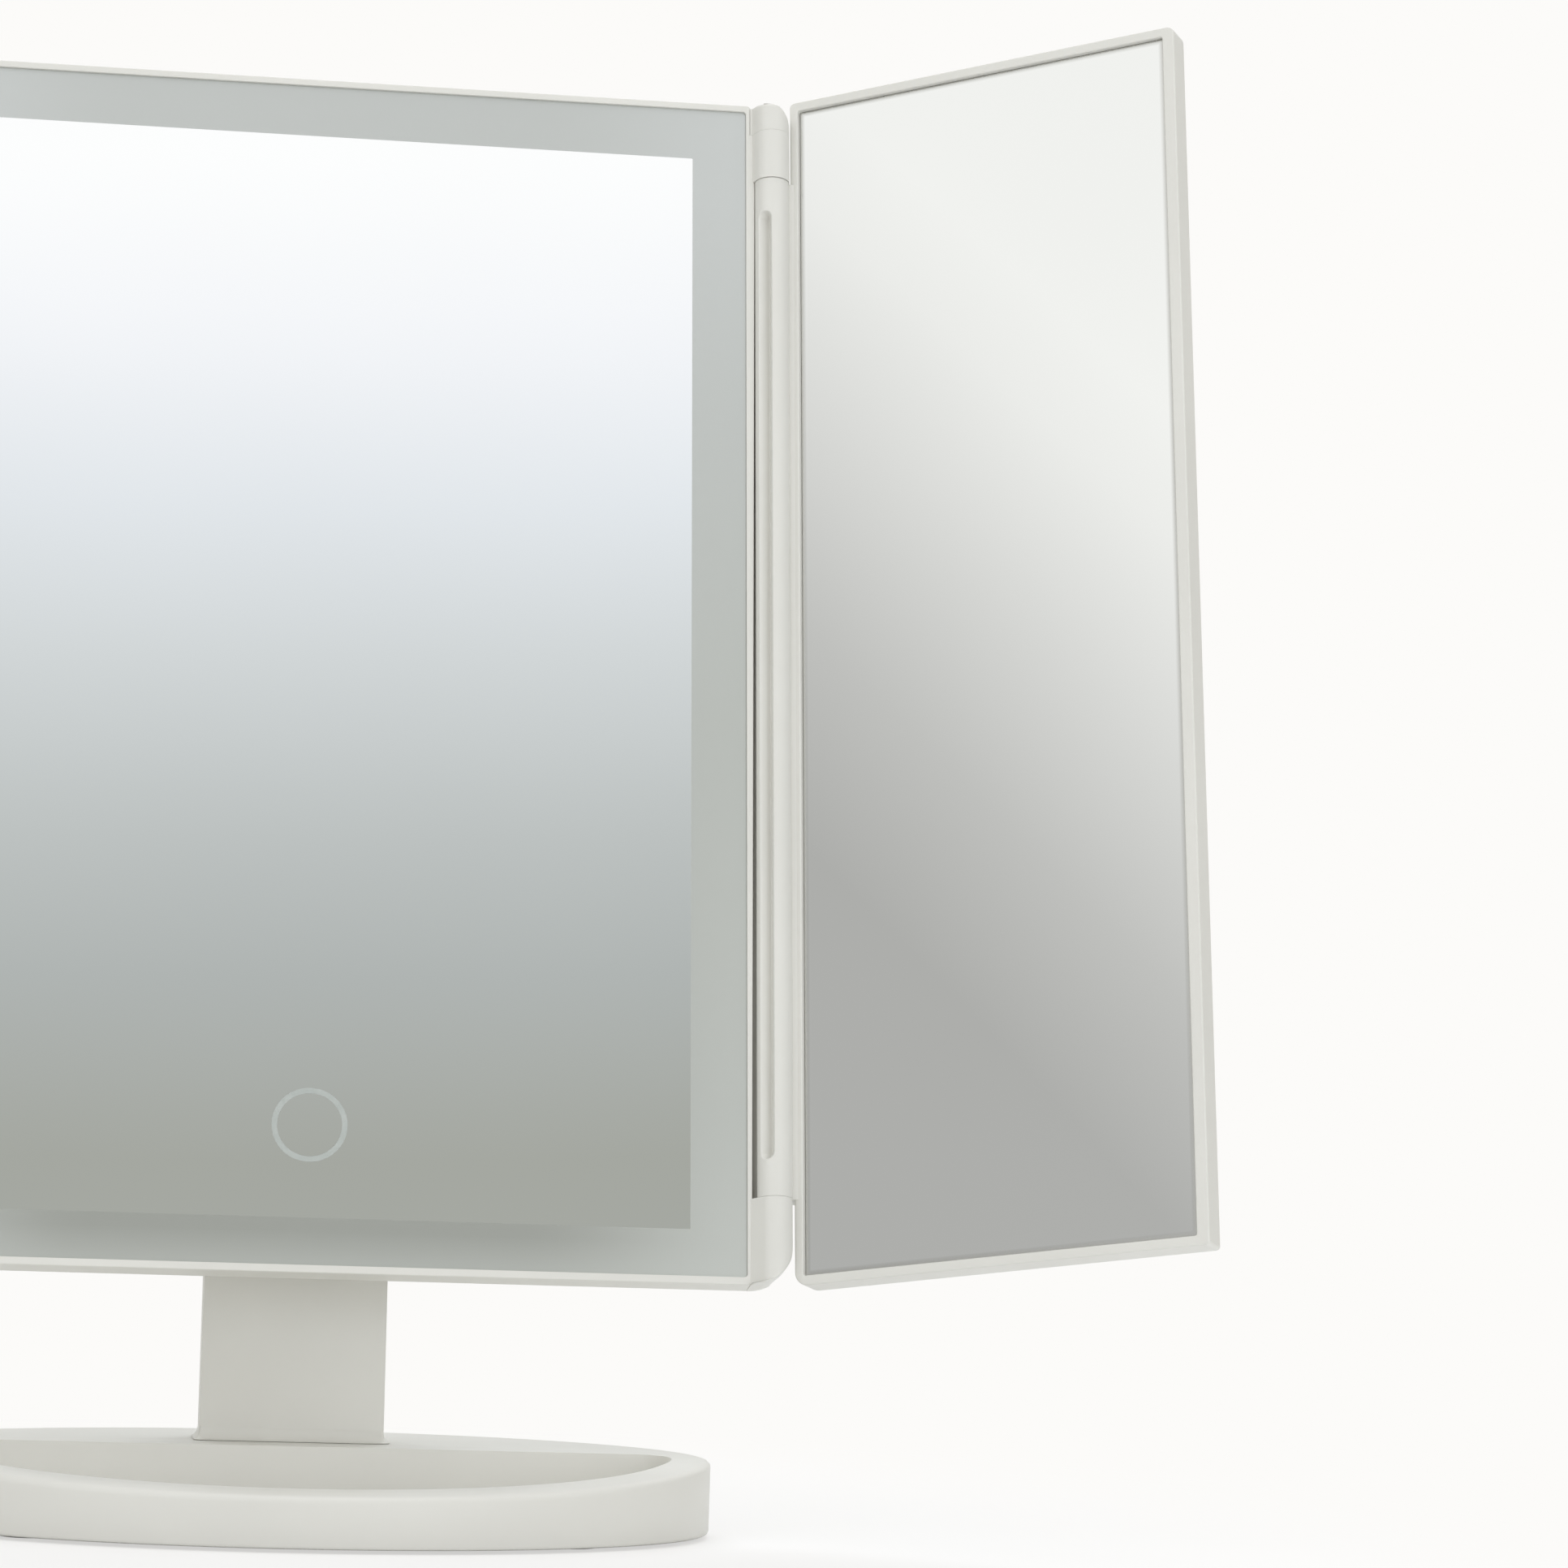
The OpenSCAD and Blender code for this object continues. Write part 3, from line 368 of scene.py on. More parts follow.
def pressed_steel():
    # cold-rolled sheet steel: darker, with the rolling direction running up the strut
    material, tree, shader, place = new_material("pressed_steel", metallic=1.0)
    stretch = add(
        tree,
        "ShaderNodeMapping",
        {"Vector": place, "Scale": (1.0, 1.0, 0.05)},
    )
    streaks = add(
        tree,
        "ShaderNodeTexNoise",
        {"Vector": stretch.outputs["Vector"], "Scale": per_mm(1.0), "Detail": 3.0},
    )
    ramp = add(tree, "ShaderNodeValToRGB", {"Fac": streaks.outputs["Fac"]})
    fill_ramp(ramp, [(NOISE_LOW, "#8E9194"), (NOISE_HIGH, "#A5A8AA")])
    tree.links.new(ramp.outputs["Color"], shader.inputs["Base Color"])
    gloss = add(
        tree,
        "ShaderNodeMapRange",
        {"Value": streaks.outputs["Fac"], "To Min": 0.3, "To Max": 0.45},
    )
    tree.links.new(gloss.outputs["Result"], shader.inputs["Roughness"])
    return material


def mill_steel():
    # hot-rolled ballast plate with its blue-black mill scale
    material, tree, shader, place = new_material("mill_steel", metallic=0.8)
    vary_colour(tree, shader, place, "#4B4D51", "#6A6C70", 6, 6.0)
    vary_roughness(tree, shader, place, 0.45, 0.7, 4)
    return material


def nickel_wire():
    # nickel-plated spring wire: bright, slightly warm
    material, tree, shader, place = new_material("nickel_wire", metallic=1.0)
    vary_colour(tree, shader, place, "#BDBAB2", "#CFCBC2", 1)
    vary_roughness(tree, shader, place, 0.18, 0.3, 1)
    return material


def foot_rubber():
    # soft grey elastomer: matt with a dusty bloom
    material, tree, shader, place = new_material(
        "foot_rubber", roughness=0.8, ior=1.5, sheen_weight=0.2
    )
    vary_colour(tree, shader, place, "#A9A9A6", "#B6B6B2", 2)
    grain(tree, shader, place, 0.5, 0.02)
    return material


def friction_fibre():
    # pressed dark fibre of the friction washers: matt and mottled
    material, tree, shader, place = new_material("friction_fibre", roughness=0.85)
    vary_colour(tree, shader, place, "#2B2B2C", "#47474A", 0.6)
    return material


def acetal():
    # milky white acetal bushes with a waxy gloss
    material, tree, shader, place = new_material("acetal", roughness=0.35, ior=1.48)
    vary_colour(tree, shader, place, "#E6E5DE", "#EEEDE7", 5)
    return material


def dotted_acrylic():
    # acrylic light guide, pale and glossy, with rows of printed white dots
    material, tree, shader, place = new_material("dotted_acrylic", roughness=0.12, ior=1.49)
    cells = add(
        tree,
        "ShaderNodeTexVoronoi",
        {"Vector": place, "Scale": per_mm(1.8), "Randomness": 0.0},
    )
    ramp = add(tree, "ShaderNodeValToRGB", {"Fac": cells.outputs["Distance"]})
    fill_ramp(ramp, [(0.28, "#FBFCFC"), (0.36, "#D9E6EA")])
    tree.links.new(ramp.outputs["Color"], shader.inputs["Base Color"])
    return material


def white_film():
    # white polyester reflector film: even and nearly matt
    material, tree, shader, place = new_material("white_film", roughness=0.5, ior=1.57)
    vary_colour(tree, shader, place, "#F2F2F0", "#F7F7F6", 30)
    return material


def solder_mask():
    # green solder mask over copper tracks, which show as slightly raised paler lanes
    material, tree, shader, place = new_material("solder_mask", roughness=0.3, ior=1.52)
    lanes = add(
        tree,
        "ShaderNodeTexBrick",
        {
            "Vector": place,
            "Scale": per_mm(6.0),
            "Color1": linear("#0F5A38"),
            "Color2": linear("#0D4F31"),
            "Mortar": linear("#1B7A4E"),
            "Mortar Size": 0.06,
            "Brick Width": 0.9,
            "Row Height": 0.35,
        },
    )
    tree.links.new(lanes.outputs["Color"], shader.inputs["Base Color"])
    bump = add(
        tree,
        "ShaderNodeBump",
        {"Height": lanes.outputs["Fac"], "Distance": 0.03 * MM},
    )
    tree.links.new(bump.outputs["Normal"], shader.inputs["Normal"])
    return material


def black_epoxy():
    # moulded epoxy packages: near-black and faintly mottled
    material, tree, shader, place = new_material("black_epoxy", roughness=0.55)
    vary_colour(tree, shader, place, "#1B1B1D", "#26262A", 1)
    return material


def white_strip():
    # flexible lamp strip with a cream-white top coat
    material, tree, shader, place = new_material("white_strip", roughness=0.45)
    vary_colour(tree, shader, place, "#E9E3C4", "#F0EBD2", 4)
    return material


def phosphor():
    # yellow phosphor gel in the lamps: saturated, under a wet-looking skin
    material, tree, shader, place = new_material("phosphor", roughness=0.3, coat_weight=0.6)
    vary_colour(tree, shader, place, "#F0D24E", "#F6E07A", 0.8)
    return material


def polyimide():
    # glossy amber polyimide ribbon with broad darker copper lanes under it
    material, tree, shader, place = new_material("polyimide", roughness=0.25, coat_weight=0.5)
    waves = add(
        tree,
        "ShaderNodeTexWave",
        {"Vector": place, "Scale": per_mm(7.54) * WAVE_PITCH, "Distortion": 0.0},
        bands_direction="X",
    )
    ramp = add(tree, "ShaderNodeValToRGB", {"Fac": waves.outputs["Fac"]})
    fill_ramp(ramp, [(0.45, "#B06A28"), (0.55, "#D98F3E")])
    tree.links.new(ramp.outputs["Color"], shader.inputs["Base Color"])
    return material


def nickel_plate():
    # nickel-plated contact plates: bright, warm and slightly uneven
    material, tree, shader, place = new_material("nickel_plate", metallic=1.0)
    vary_colour(tree, shader, place, "#C9C5BA", "#D8D4CA", 3)
    vary_roughness(tree, shader, place, 0.2, 0.34, 2)
    return material


def cell_sleeve():
    # shrink sleeve on the cells: deep green, glossy, slightly wrinkled
    material, tree, shader, place = new_material("cell_sleeve", roughness=0.22, coat_weight=0.7)
    vary_colour(tree, shader, place, "#2B6A4A", "#317453", 8)
    grain(tree, shader, place, 2.5, 0.03)
    return material


def red_wire():
    # silicone-insulated wire: even, soft red
    material, tree, shader, place = new_material("red_wire", roughness=0.5)
    vary_colour(tree, shader, place, "#A8231C", "#B82C22", 2)
    return material


def foam_tape():
    # dark polyethylene foam sheet: dead matt with fine open cells
    material, tree, shader, place = new_material("foam_tape", roughness=0.95)
    vary_colour(tree, shader, place, "#3A3A3C", "#4E4E51", 0.8)
    grain(tree, shader, place, 0.7, 0.08)
    return material


FINISH_OF_SLOT = {
    "shell_plastic": satin_abs,
    "bottom_plastic": underside_abs,
    "inner_plastic": inner_abs,
    "screw_steel": zinc_steel,
    "pin_steel": ground_steel,
    "strut_steel": pressed_steel,
    "ballast_steel": mill_steel,
    "spring_steel": nickel_wire,
    "foot_rubber": foot_rubber,
    "washer_dark": friction_fibre,
    "bush_plastic": acetal,
    "mirror_glass": silvered_glass,
    "frosted_glass": etched_glass,
    "ring_glass": etched_ring,
    "guide_acrylic": dotted_acrylic,
    "reflector_film": white_film,
    "circuit_green": solder_mask,
    "chip_black": black_epoxy,
    "strip_cream": white_strip,
    "led_yellow": phosphor,
    "ribbon_amber": polyimide,
    "contact_metal": nickel_plate,
    "cell_sleeve": cell_sleeve,
    "wire_red": red_wire,
    "foam_dark": foam_tape,
}


def dress_all_nodes():
    """Gives every CAD node the finish of its material slot."""
    finishes = {slot: make() for slot, make in FINISH_OF_SLOT.items()}
    for name, node in NODES.items():
        node.data.materials.clear()
        node.data.materials.append(finishes[SLOT_OF[name]])


# ---------------------------------------------------------------- softened edges

FLAT_ANGLE = math.radians(0.6)
EDGE_ANGLE = math.radians(32)
MERGE_MM = 0.002
EDGE_SEGMENTS = 3
SOFT_RADIUS_MM = {
    "rear_cover": 0.3,
    "battery_door": 0.25,
    "neck_rear_cover": 0.3,
    "tilt_bracket": 0.3,
    "base_shell": 0.4,
}
NECK_SOFT_MM = 0.5


def make_piece(shape, name, node):
    """A smooth-shaded piece of the shape, which stands for a CAD node."""
    mesh = bpy.data.meshes.new(name)
    shape.to_mesh(mesh)
    shape.free()
    mesh.materials.append(NODES[node].data.materials[0])
    mesh.shade_smooth()
    piece = into_scene(name, mesh)
    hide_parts(node)
    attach(piece, BODY_OF[node])
    return piece


def round_edges(piece, radius_mm):
    """Gives a piece's sharp edges their radius."""
    bevel = piece.modifiers.new("edge_radius", "BEVEL")
    bevel.width = radius_mm * MM
    bevel.segments = EDGE_SEGMENTS
    bevel.limit_method = "ANGLE"
    bevel.angle_limit = EDGE_ANGLE
    bevel.harden_normals = True
    bevel.miter_outer = "MITER_ARC"


def soften(node, radius_mm, floor_mm=None):
    """A copy of a moulded piece whose sharp edges carry their real radius. What lies below
    floor_mm is cut off."""
    shape = bmesh.new()
    shape.from_mesh(NODES[node].data)
    bmesh.ops.remove_doubles(shape, verts=shape.verts, dist=MERGE_MM * MM)
    bmesh.ops.dissolve_limit(
        shape,
        angle_limit=FLAT_ANGLE,
        verts=shape.verts,
        edges=shape.edges,
        delimit={"NORMAL"},
    )
    if floor_mm:
        cut = bmesh.ops.bisect_plane(
            shape,
            geom=shape.verts[:] + shape.edges[:] + shape.faces[:],
            plane_co=(0, 0, floor_mm * MM),
            plane_no=(0, 0, 1),
            clear_inner=True,
        )["geom_cut"]
        rim = [part for part in cut if isinstance(part, bmesh.types.BMEdge)]
        bmesh.ops.triangle_fill(shape, use_beauty=True, edges=rim)
        bmesh.ops.recalc_face_normals(shape, faces=shape.faces)
    round_edges(make_piece(shape, node + "_soft", node), radius_mm)


# ---------------------------------------------------------------- moulded forms
# All sizes below are millimetres in the part's own frames: X along a panel, Y back from
# its front face, Z up it. They follow the named values of the CAD source, with the wing's
# lower corners, the groove and the upper ears refined by up to 1.3 mm.

TILT = math.radians(14.55)
PANEL_PLACE = Vector((0, -12.1, 54.15))
WING_TURN = math.radians(33.5)
HINGE_X = 99.4
BARREL_R = 3.85
EDGE_T = 6.5
# a small gap or overlap where two forms meet
HAIR = 0.02

# the centre casing, and its seats for the glass and the rear cover
HALF_W = 94.45
CENTRE_H = 274.5
CASING_CORNER = 0.7
CASING_EASE = 0.3
GLASS_X = HALF_W - 0.93
GLASS_Z = (1.68, CENTRE_H - 1.53)
GLASS_CORNER = 0.8
GLASS_EASE = 0.12
GLASS_BACK = 2.5
INNER_X = HALF_W - 2.5
INNER_Z = (3.4, CENTRE_H - 3.2)
INNER_CORNER = 1
REAR_RIM = 1.4
REAR_T = 1.6
REAR_CORNER = 2

# its hinge ears, the shield behind each barrel and the lip beside it
EAR_LOW = 18.7
EAR_TOP = CENTRE_H - 19.1
EAR_END = CENTRE_H - 0.75
CAP_SEAM = EAR_END - 6.6
TOP_EAR_R = 4.1
EAR_PLAY = 0.05
EAR_ROUND_LOW = 8.7
EAR_ROUND_TOP = 5.6
EAR_X0 = HALF_W - 0.3
TOP_EAR_FOOT = HALF_W + 0.55
EAR_EASE = 0.8
EAR_BLEND = 0.5
EAR_ARC_STEPS = 15
SHIELD_R = BARREL_R + 0.35
SHIELD_ARC = (97, 152)
SHIELD_REAR_X = HINGE_X - 0.5
# how far the shield and the lip run into the casing and the ears
SUNK = 1
# degrees per step of the arcs on the ears and the shield
EAR_STEP = 5
LIP_DRAFT = 0.98
LIP_PROUD = 0.05
LIP_EASE = 0.12

# the wing's casing. Corners: upper outer, upper inner, lower inner, lower outer
WING_X0 = 3.45
WING_REACH = 97.25
WING_H = 275.7
WING_FRONT = 2.4
WING_BACK = WING_FRONT + EDGE_T
WING_CORNERS = (1.8, 1.2, 3.0, 0.9)
WING_EASE = 0.35
WING_BACK_EASE = 0.3
WINDOW = (5.47, 2.16, WING_REACH - 2.78, WING_H - 2.18)
WINDOW_CORNERS = (0.5,) * 4
WINDOW_EASE = 0.3
COVER_T = 1.8
COVER_SEAT = (WING_X0 + 1.1, 1.2, WING_REACH - 1.2, WING_H - 1.2)
COVER_CORNERS = (1, 1, 2.6, 1)

# its barrel with the web and the long groove
WEB_X = WING_X0 + 1
WEB_REAR_X = 2.2
WEB_ANGLE = math.degrees(math.atan2(WING_FRONT, WEB_X))
# stretches of its section as degrees from, to and per step: fine where the groove is cut
BARREL_ARCS = ((WEB_ANGLE, -54, 6), (-56, -124, 2), (-126, -270, 6))
BARREL_ENDS = (EAR_LOW + 0.06, EAR_TOP - 0.12)
GROOVE_R = 1.42
GROOVE_ENDS = (27.0, 247.0)
GROOVE_DEPTH = 2.5
GROOVE_SOFT = (0.9, 1.25)
GROOVE_STEPS = 12

# its mirror pane
PANE_GAP = 0.05
PANE_CORNERS = (0.3,) * 4
PANE_FACE = WING_FRONT + 1.1
PANE_T = 2.0
ARRIS = 0.15
# the pane's dark border, and how strongly each ring is marked from the back to the front face:
# partly a dull ground edge, partly painted shade of the casing's window wall
MIRROR_BORDER = 1.3
EDGE_AND_SHADE_MARKS = (0.8, 0.8, 0.65, 0.0)

# the neck and its foot on the deck of the base
DECK_Z = 16.4
NECK_LEAN = math.radians(10)
NECK_HALF_X = 19.8
NECK_HALF_Y = 6.0 / math.cos(NECK_LEAN)
NECK_WALL = 2.0
NECK_CORNER = 0.5
NECK_BEHIND = 4
PIVOT = PANEL_PLACE + Matrix.Rotation(-TILT, 3, "X") @ Vector((0, 33, 93))
NECK_FOOT_Y = (
    PIVOT.y
    - (PIVOT.z - DECK_Z) * math.tan(NECK_LEAN)
    + NECK_BEHIND / math.cos(NECK_LEAN)
)
FOOT_GROW = 1.35
FOOT_TOP = 2.85
FOOT_SWEEP = FOOT_TOP - 0.5
FOOT_ARC_STEPS = 6
FOOT_EDGE_Z = 0.29
FOOT_LINE = ((FOOT_GROW - 0.25, 0.04), (FOOT_GROW - 0.07, 0.11))

CORNER_STEPS = 8
SHARP_R = 0.02
JOIN_DIST = 0.0001
ON_SURFACE = 0.01
PANEL = (
    Matrix.Scale(MM, 4)
    @ Matrix.Translation(PANEL_PLACE)
    @ Matrix.Rotation(-TILT, 4, "X")
)


def mirrored(side):
    """Keeps the right half as it is for side 1, and flips it to the left for side -1."""
    return Matrix.Diagonal((side, 1, 1, 1))


def wing_place(side):
    """From the wing's own frame, with Z along its hinge axis, to its place at rest."""
    return (
        PANEL
        @ mirrored(side)
        @ Matrix.Translation((HINGE_X, 0, 0))
        @ Matrix.Rotation(-WING_TURN, 4, "Z")
    )


def shrink(box, inset):
    """The box (x0, z0, x1, z1) with each side drawn in."""
    return (box[0] + inset, box[1] + inset, box[2] - inset, box[3] - inset)


def inset_corners(radii, inset):
    return [r - inset for r in radii]


def round_loop(box, radii, depth):
    """Points of a rounded rectangle. Corners: upper right, upper left, lower left, lower
    right."""
    x0, z0, x1, z1 = box
    corners = ((x1, z1, -1, -1), (x0, z1, 1, -1), (x0, z0, 1, 1), (x1, z0, -1, 1))
    points = []
    for quarter, (x, z, inward_x, inward_z) in enumerate(corners):
        r = max(radii[quarter], SHARP_R)
        for step in range(CORNER_STEPS + 1):
            angle = math.radians(90 * (quarter + step / CORNER_STEPS))
            points.append(
                (
                    x + inward_x * r + r * math.cos(angle),
                    depth,
                    z + inward_z * r + r * math.sin(angle),
                )
            )
    return points


def eased_edge(box, radii, face_y, back, inward, r):
    """Loops of a rounded edge, from the wall on the box to the face. back is 1 where the
    material lies behind the face, inward is 1 where the wall faces out."""
    loops = []
    for angle in (0, 22.5, 45, 67.5, 90):
        turn = math.radians(angle)
        inset = inward * r * (1 - math.cos(turn))
        depth = face_y + back * r * (1 - math.sin(turn))
        loops.append(round_loop(shrink(box, inset), inset_corners(radii, inset), depth))
    return loops


def draw_through(shape, loops, closed=False):
    """Extrudes the first loop through the others. The ends are joined, or filled. Returns
    the points of each loop."""
    order = shape.verts.layers.int.get("order") or shape.verts.layers.int.new("order")
    verts = [shape.verts.new(point) for point in loops[0]]
    for index, vert in enumerate(verts):
        vert[order] = index
    edges = [shape.edges.new(pair) for pair in zip(verts, verts[1:] + verts[:1])]
    start = edges
    rings = [verts]
    for loop in loops[1:] + loops[: 1 if closed else 0]:
        grown = bmesh.ops.extrude_edge_only(shape, edges=edges)["geom"]
        verts = {part for part in grown if isinstance(part, bmesh.types.BMVert)}
        edges = [
            part
            for part in grown
            if isinstance(part, bmesh.types.BMEdge) and verts.issuperset(part.verts)
        ]
        for vert in verts:
            vert.co = loop[vert[order]]
        rings.append(verts)
    if closed:
        every = [vert for ring in rings for vert in ring]
        bmesh.ops.remove_doubles(shape, verts=every, dist=JOIN_DIST)
    else:
        bmesh.ops.edgeloop_fill(shape, edges=start)
        bmesh.ops.edgeloop_fill(shape, edges=edges)
    return rings


def stack(shape, outline, levels, shift=Vector):
    """Draws a closed outline up through the levels; shift(point) places each point."""
    loops = [[shift((x, y, level)) for x, y in outline] for level in levels]
    draw_through(shape, loops)


def spread(start, end, count):
    """Both ends and the evenly spaced values between them, in count steps."""
    return [start + (end - start) * step / count for step in range(count + 1)]


def arc(centre, radius, start, end, step):
    """Points of an arc, with angles in degrees from +X to +Y."""
    count = max(1, round(abs(end - start) / step))
    return [
        (
            centre[0] + radius * math.cos(math.radians(angle)),
            centre[1] + radius * math.sin(math.radians(angle)),
        )
        for angle in spread(start, end, count)
    ]


def soft_min(a, b, blend):
    """The smaller of two lengths, with a rounded change from one to the other."""
    gap = max(blend - abs(a - b), 0) / blend
    return min(a, b) - gap * gap * blend / 4


def build(shape, name, node, place):
    """Puts a drawn shape in its place and makes the finished piece of it."""
    bmesh.ops.transform(shape, matrix=place, verts=shape.verts)
    bmesh.ops.recalc_face_normals(shape, faces=shape.faces)
    shape.verts.layers.int.remove(shape.verts.layers.int["order"])
    piece = make_piece(shape, name, node)
    piece.data.set_sharp_from_angle(angle=EDGE_ANGLE)
    even = piece.modifiers.new("flat_faces_stay_flat", "WEIGHTED_NORMAL")
    even.keep_sharp = True


def groove_cut(point):
    """Sinks the barrel's face into the long groove: a deep round channel, soft at its edge."""
    x, y, z = point
    low, high = GROOVE_ENDS
    past_end = max(low + GROOVE_R - z, z - high + GROOVE_R, 0)
    aside = BARREL_R * math.atan2(x, -y)
    away = math.hypot(aside, past_end) / GROOVE_R
    if away >= GROOVE_SOFT[1] or math.hypot(x, y) < BARREL_R - ON_SURFACE:
        return point
    if away < GROOVE_SOFT[0]:
        share = math.sqrt(1 - away**2)
    else:
        edge = (GROOVE_SOFT[1] - away) / (GROOVE_SOFT[1] - GROOVE_SOFT[0])
        share = math.sqrt(1 - GROOVE_SOFT[0] ** 2) * edge**2
    keep = 1 - share * GROOVE_DEPTH / BARREL_R
    return Vector((x * keep, y * keep, z))


def wing_casing(side, name, node):
    """The wing's moulded frame, with its slotted hinge barrel."""
    shape = bmesh.new()
    outer = (WING_X0, 0, WING_REACH, WING_H)
    seat_y = WING_BACK - COVER_T
    loops = eased_edge(outer, WING_CORNERS, WING_BACK, -1, 1, WING_BACK_EASE)[::-1]
    loops += eased_edge(outer, WING_CORNERS, WING_FRONT, 1, 1, WING_EASE)
    loops += eased_edge(WINDOW, WINDOW_CORNERS, WING_FRONT, 1, -1, WINDOW_EASE)[::-1]
    loops += [
        round_loop(WINDOW, WINDOW_CORNERS, seat_y),
        round_loop(COVER_SEAT, COVER_CORNERS, seat_y),
        round_loop(COVER_SEAT, COVER_CORNERS, WING_BACK),
    ]
    draw_through(shape, loops, closed=True)
    outline = [point for span in BARREL_ARCS for point in arc((0, 0), BARREL_R, *span)]
    outline += [
        (WEB_REAR_X, WING_BACK - HAIR),
        (WEB_X, WING_BACK - HAIR),
        (WEB_X, WING_FRONT + HAIR),
    ]
    groove_low, groove_high = GROOVE_ENDS
    turn_in = spread(GROOVE_R * (1 - GROOVE_SOFT[1]), GROOVE_R, GROOVE_STEPS)
    straight = spread(groove_low + GROOVE_R, groove_high - GROOVE_R, GROOVE_STEPS)
    levels = (
        [BARREL_ENDS[0]]
        + [groove_low + rise for rise in turn_in]
        + straight[1:-1]
        + [groove_high - rise for rise in reversed(turn_in)]
        + [BARREL_ENDS[1]]
    )
    stack(shape, outline, levels, groove_cut)
    build(shape, name, node, wing_place(side))


def wing_pane(side, name, node):
    """The wing's mirror pane: a ground arris and a dark border beside it, partly a dull ground
    edge and partly painted shade.
    """
    shape = bmesh.new()
    edge_and_shade_mark = shape.verts.layers.float.new("edge")
    pane = shrink(WINDOW, PANE_GAP)
    rings = draw_through(
        shape,
        [
            round_loop(pane, PANE_CORNERS, PANE_FACE + PANE_T),
            round_loop(pane, PANE_CORNERS, PANE_FACE + ARRIS),
            round_loop(shrink(pane, ARRIS), PANE_CORNERS, PANE_FACE),
            round_loop(shrink(pane, MIRROR_BORDER), PANE_CORNERS, PANE_FACE),
        ],
    )
    for ring, mark in zip(rings, EDGE_AND_SHADE_MARKS):
        for vert in ring:
            vert[edge_and_shade_mark] = mark
    build(shape, name, node, wing_place(side))


def ear_outline(radius, foot=EAR_X0):
    """Section of the hinge ears: a web at the back, a round front and a flat flank that
    meets the casing's face at foot."""
    back = 90 - math.degrees(math.acos(radius / EDGE_T))
    flank = math.degrees(math.asin(radius / (HINGE_X - foot)))
    return (
        [(EAR_X0, EDGE_T - HAIR), (HINGE_X, EDGE_T - HAIR)]
        + arc((HINGE_X, 0), radius, back, -90 - flank, EAR_STEP)
        + ([(foot, 0.0)] if foot > EAR_X0 else [])
        + [(EAR_X0, 0.0)]
    )


def ear_trim(point):
    """Rounds the ear's outer end: a large corner and an eased rim."""
    x, y, z = point
    height = max(min(z, EAR_END - z), 0)
    lower = z < CENTRE_H / 2
    corner, radius = (
        (EAR_ROUND_LOW, BARREL_R) if lower else (EAR_ROUND_TOP, TOP_EAR_R)
    )
    short = max(corner - height, 0)
    ease = max(EAR_EASE - height, 0)
    inset = EAR_EASE - math.sqrt(EAR_EASE**2 - ease**2)
    reach = HINGE_X + radius + EAR_PLAY - corner
    limit = reach + math.sqrt(corner**2 - short**2) - inset
    if y < 0:
        y *= 1 - inset / radius
    return Vector((max(soft_min(x, limit, EAR_BLEND), EAR_X0), y, z))


def ear_levels(start, end, radius, up):
    """Levels that follow the round corner closely and the straight part loosely."""
    swing = [radius * math.sin(math.radians(a)) for a in spread(0, 90, EAR_ARC_STEPS)]
    if up:
        return [start] + [end - radius + rise for rise in swing]
    return [radius - rise for rise in reversed(swing)] + [end]


def lip_draft(point):
    """The lip of the casing beside the barrel grows thicker towards the upper ear."""
    x, y, z = point
    if x < HALF_W - LIP_EASE:
        return point
    climb = (z - EAR_LOW) / (EAR_TOP - EAR_LOW)
    return Vector((x + LIP_PROUD + LIP_DRAFT * min(max(climb, 0), 1), y, z))


def hinge_half():
    """The right half's ears, shield and lip, as a mesh for both sides."""
    shield = (
        [(HALF_W - SUNK, EDGE_T - HAIR), (SHIELD_REAR_X, EDGE_T - HAIR)]
        + arc((HINGE_X, 0), SHIELD_R, *SHIELD_ARC, EAR_STEP)
        + [(HALF_W - HAIR, BARREL_R), (HALF_W - SUNK, BARREL_R)]
    )
    lip = [
        (EAR_X0, HAIR),
        (HALF_W - LIP_EASE, HAIR),
        (HALF_W, LIP_EASE),
        (HALF_W, BARREL_R),
        (EAR_X0, BARREL_R),
    ]
    between = [EAR_LOW - SUNK, EAR_TOP + SUNK]
    half = bmesh.new()
    low_levels = ear_levels(0, EAR_LOW, EAR_ROUND_LOW, False)
    stack(half, ear_outline(BARREL_R), low_levels, ear_trim)
    top_ear = ear_outline(TOP_EAR_R, TOP_EAR_FOOT)
    stack(half, top_ear, [EAR_TOP, CAP_SEAM - HAIR], ear_trim)
    stack(half, shield, between)
    stack(half, lip, between, lip_draft)
    return half


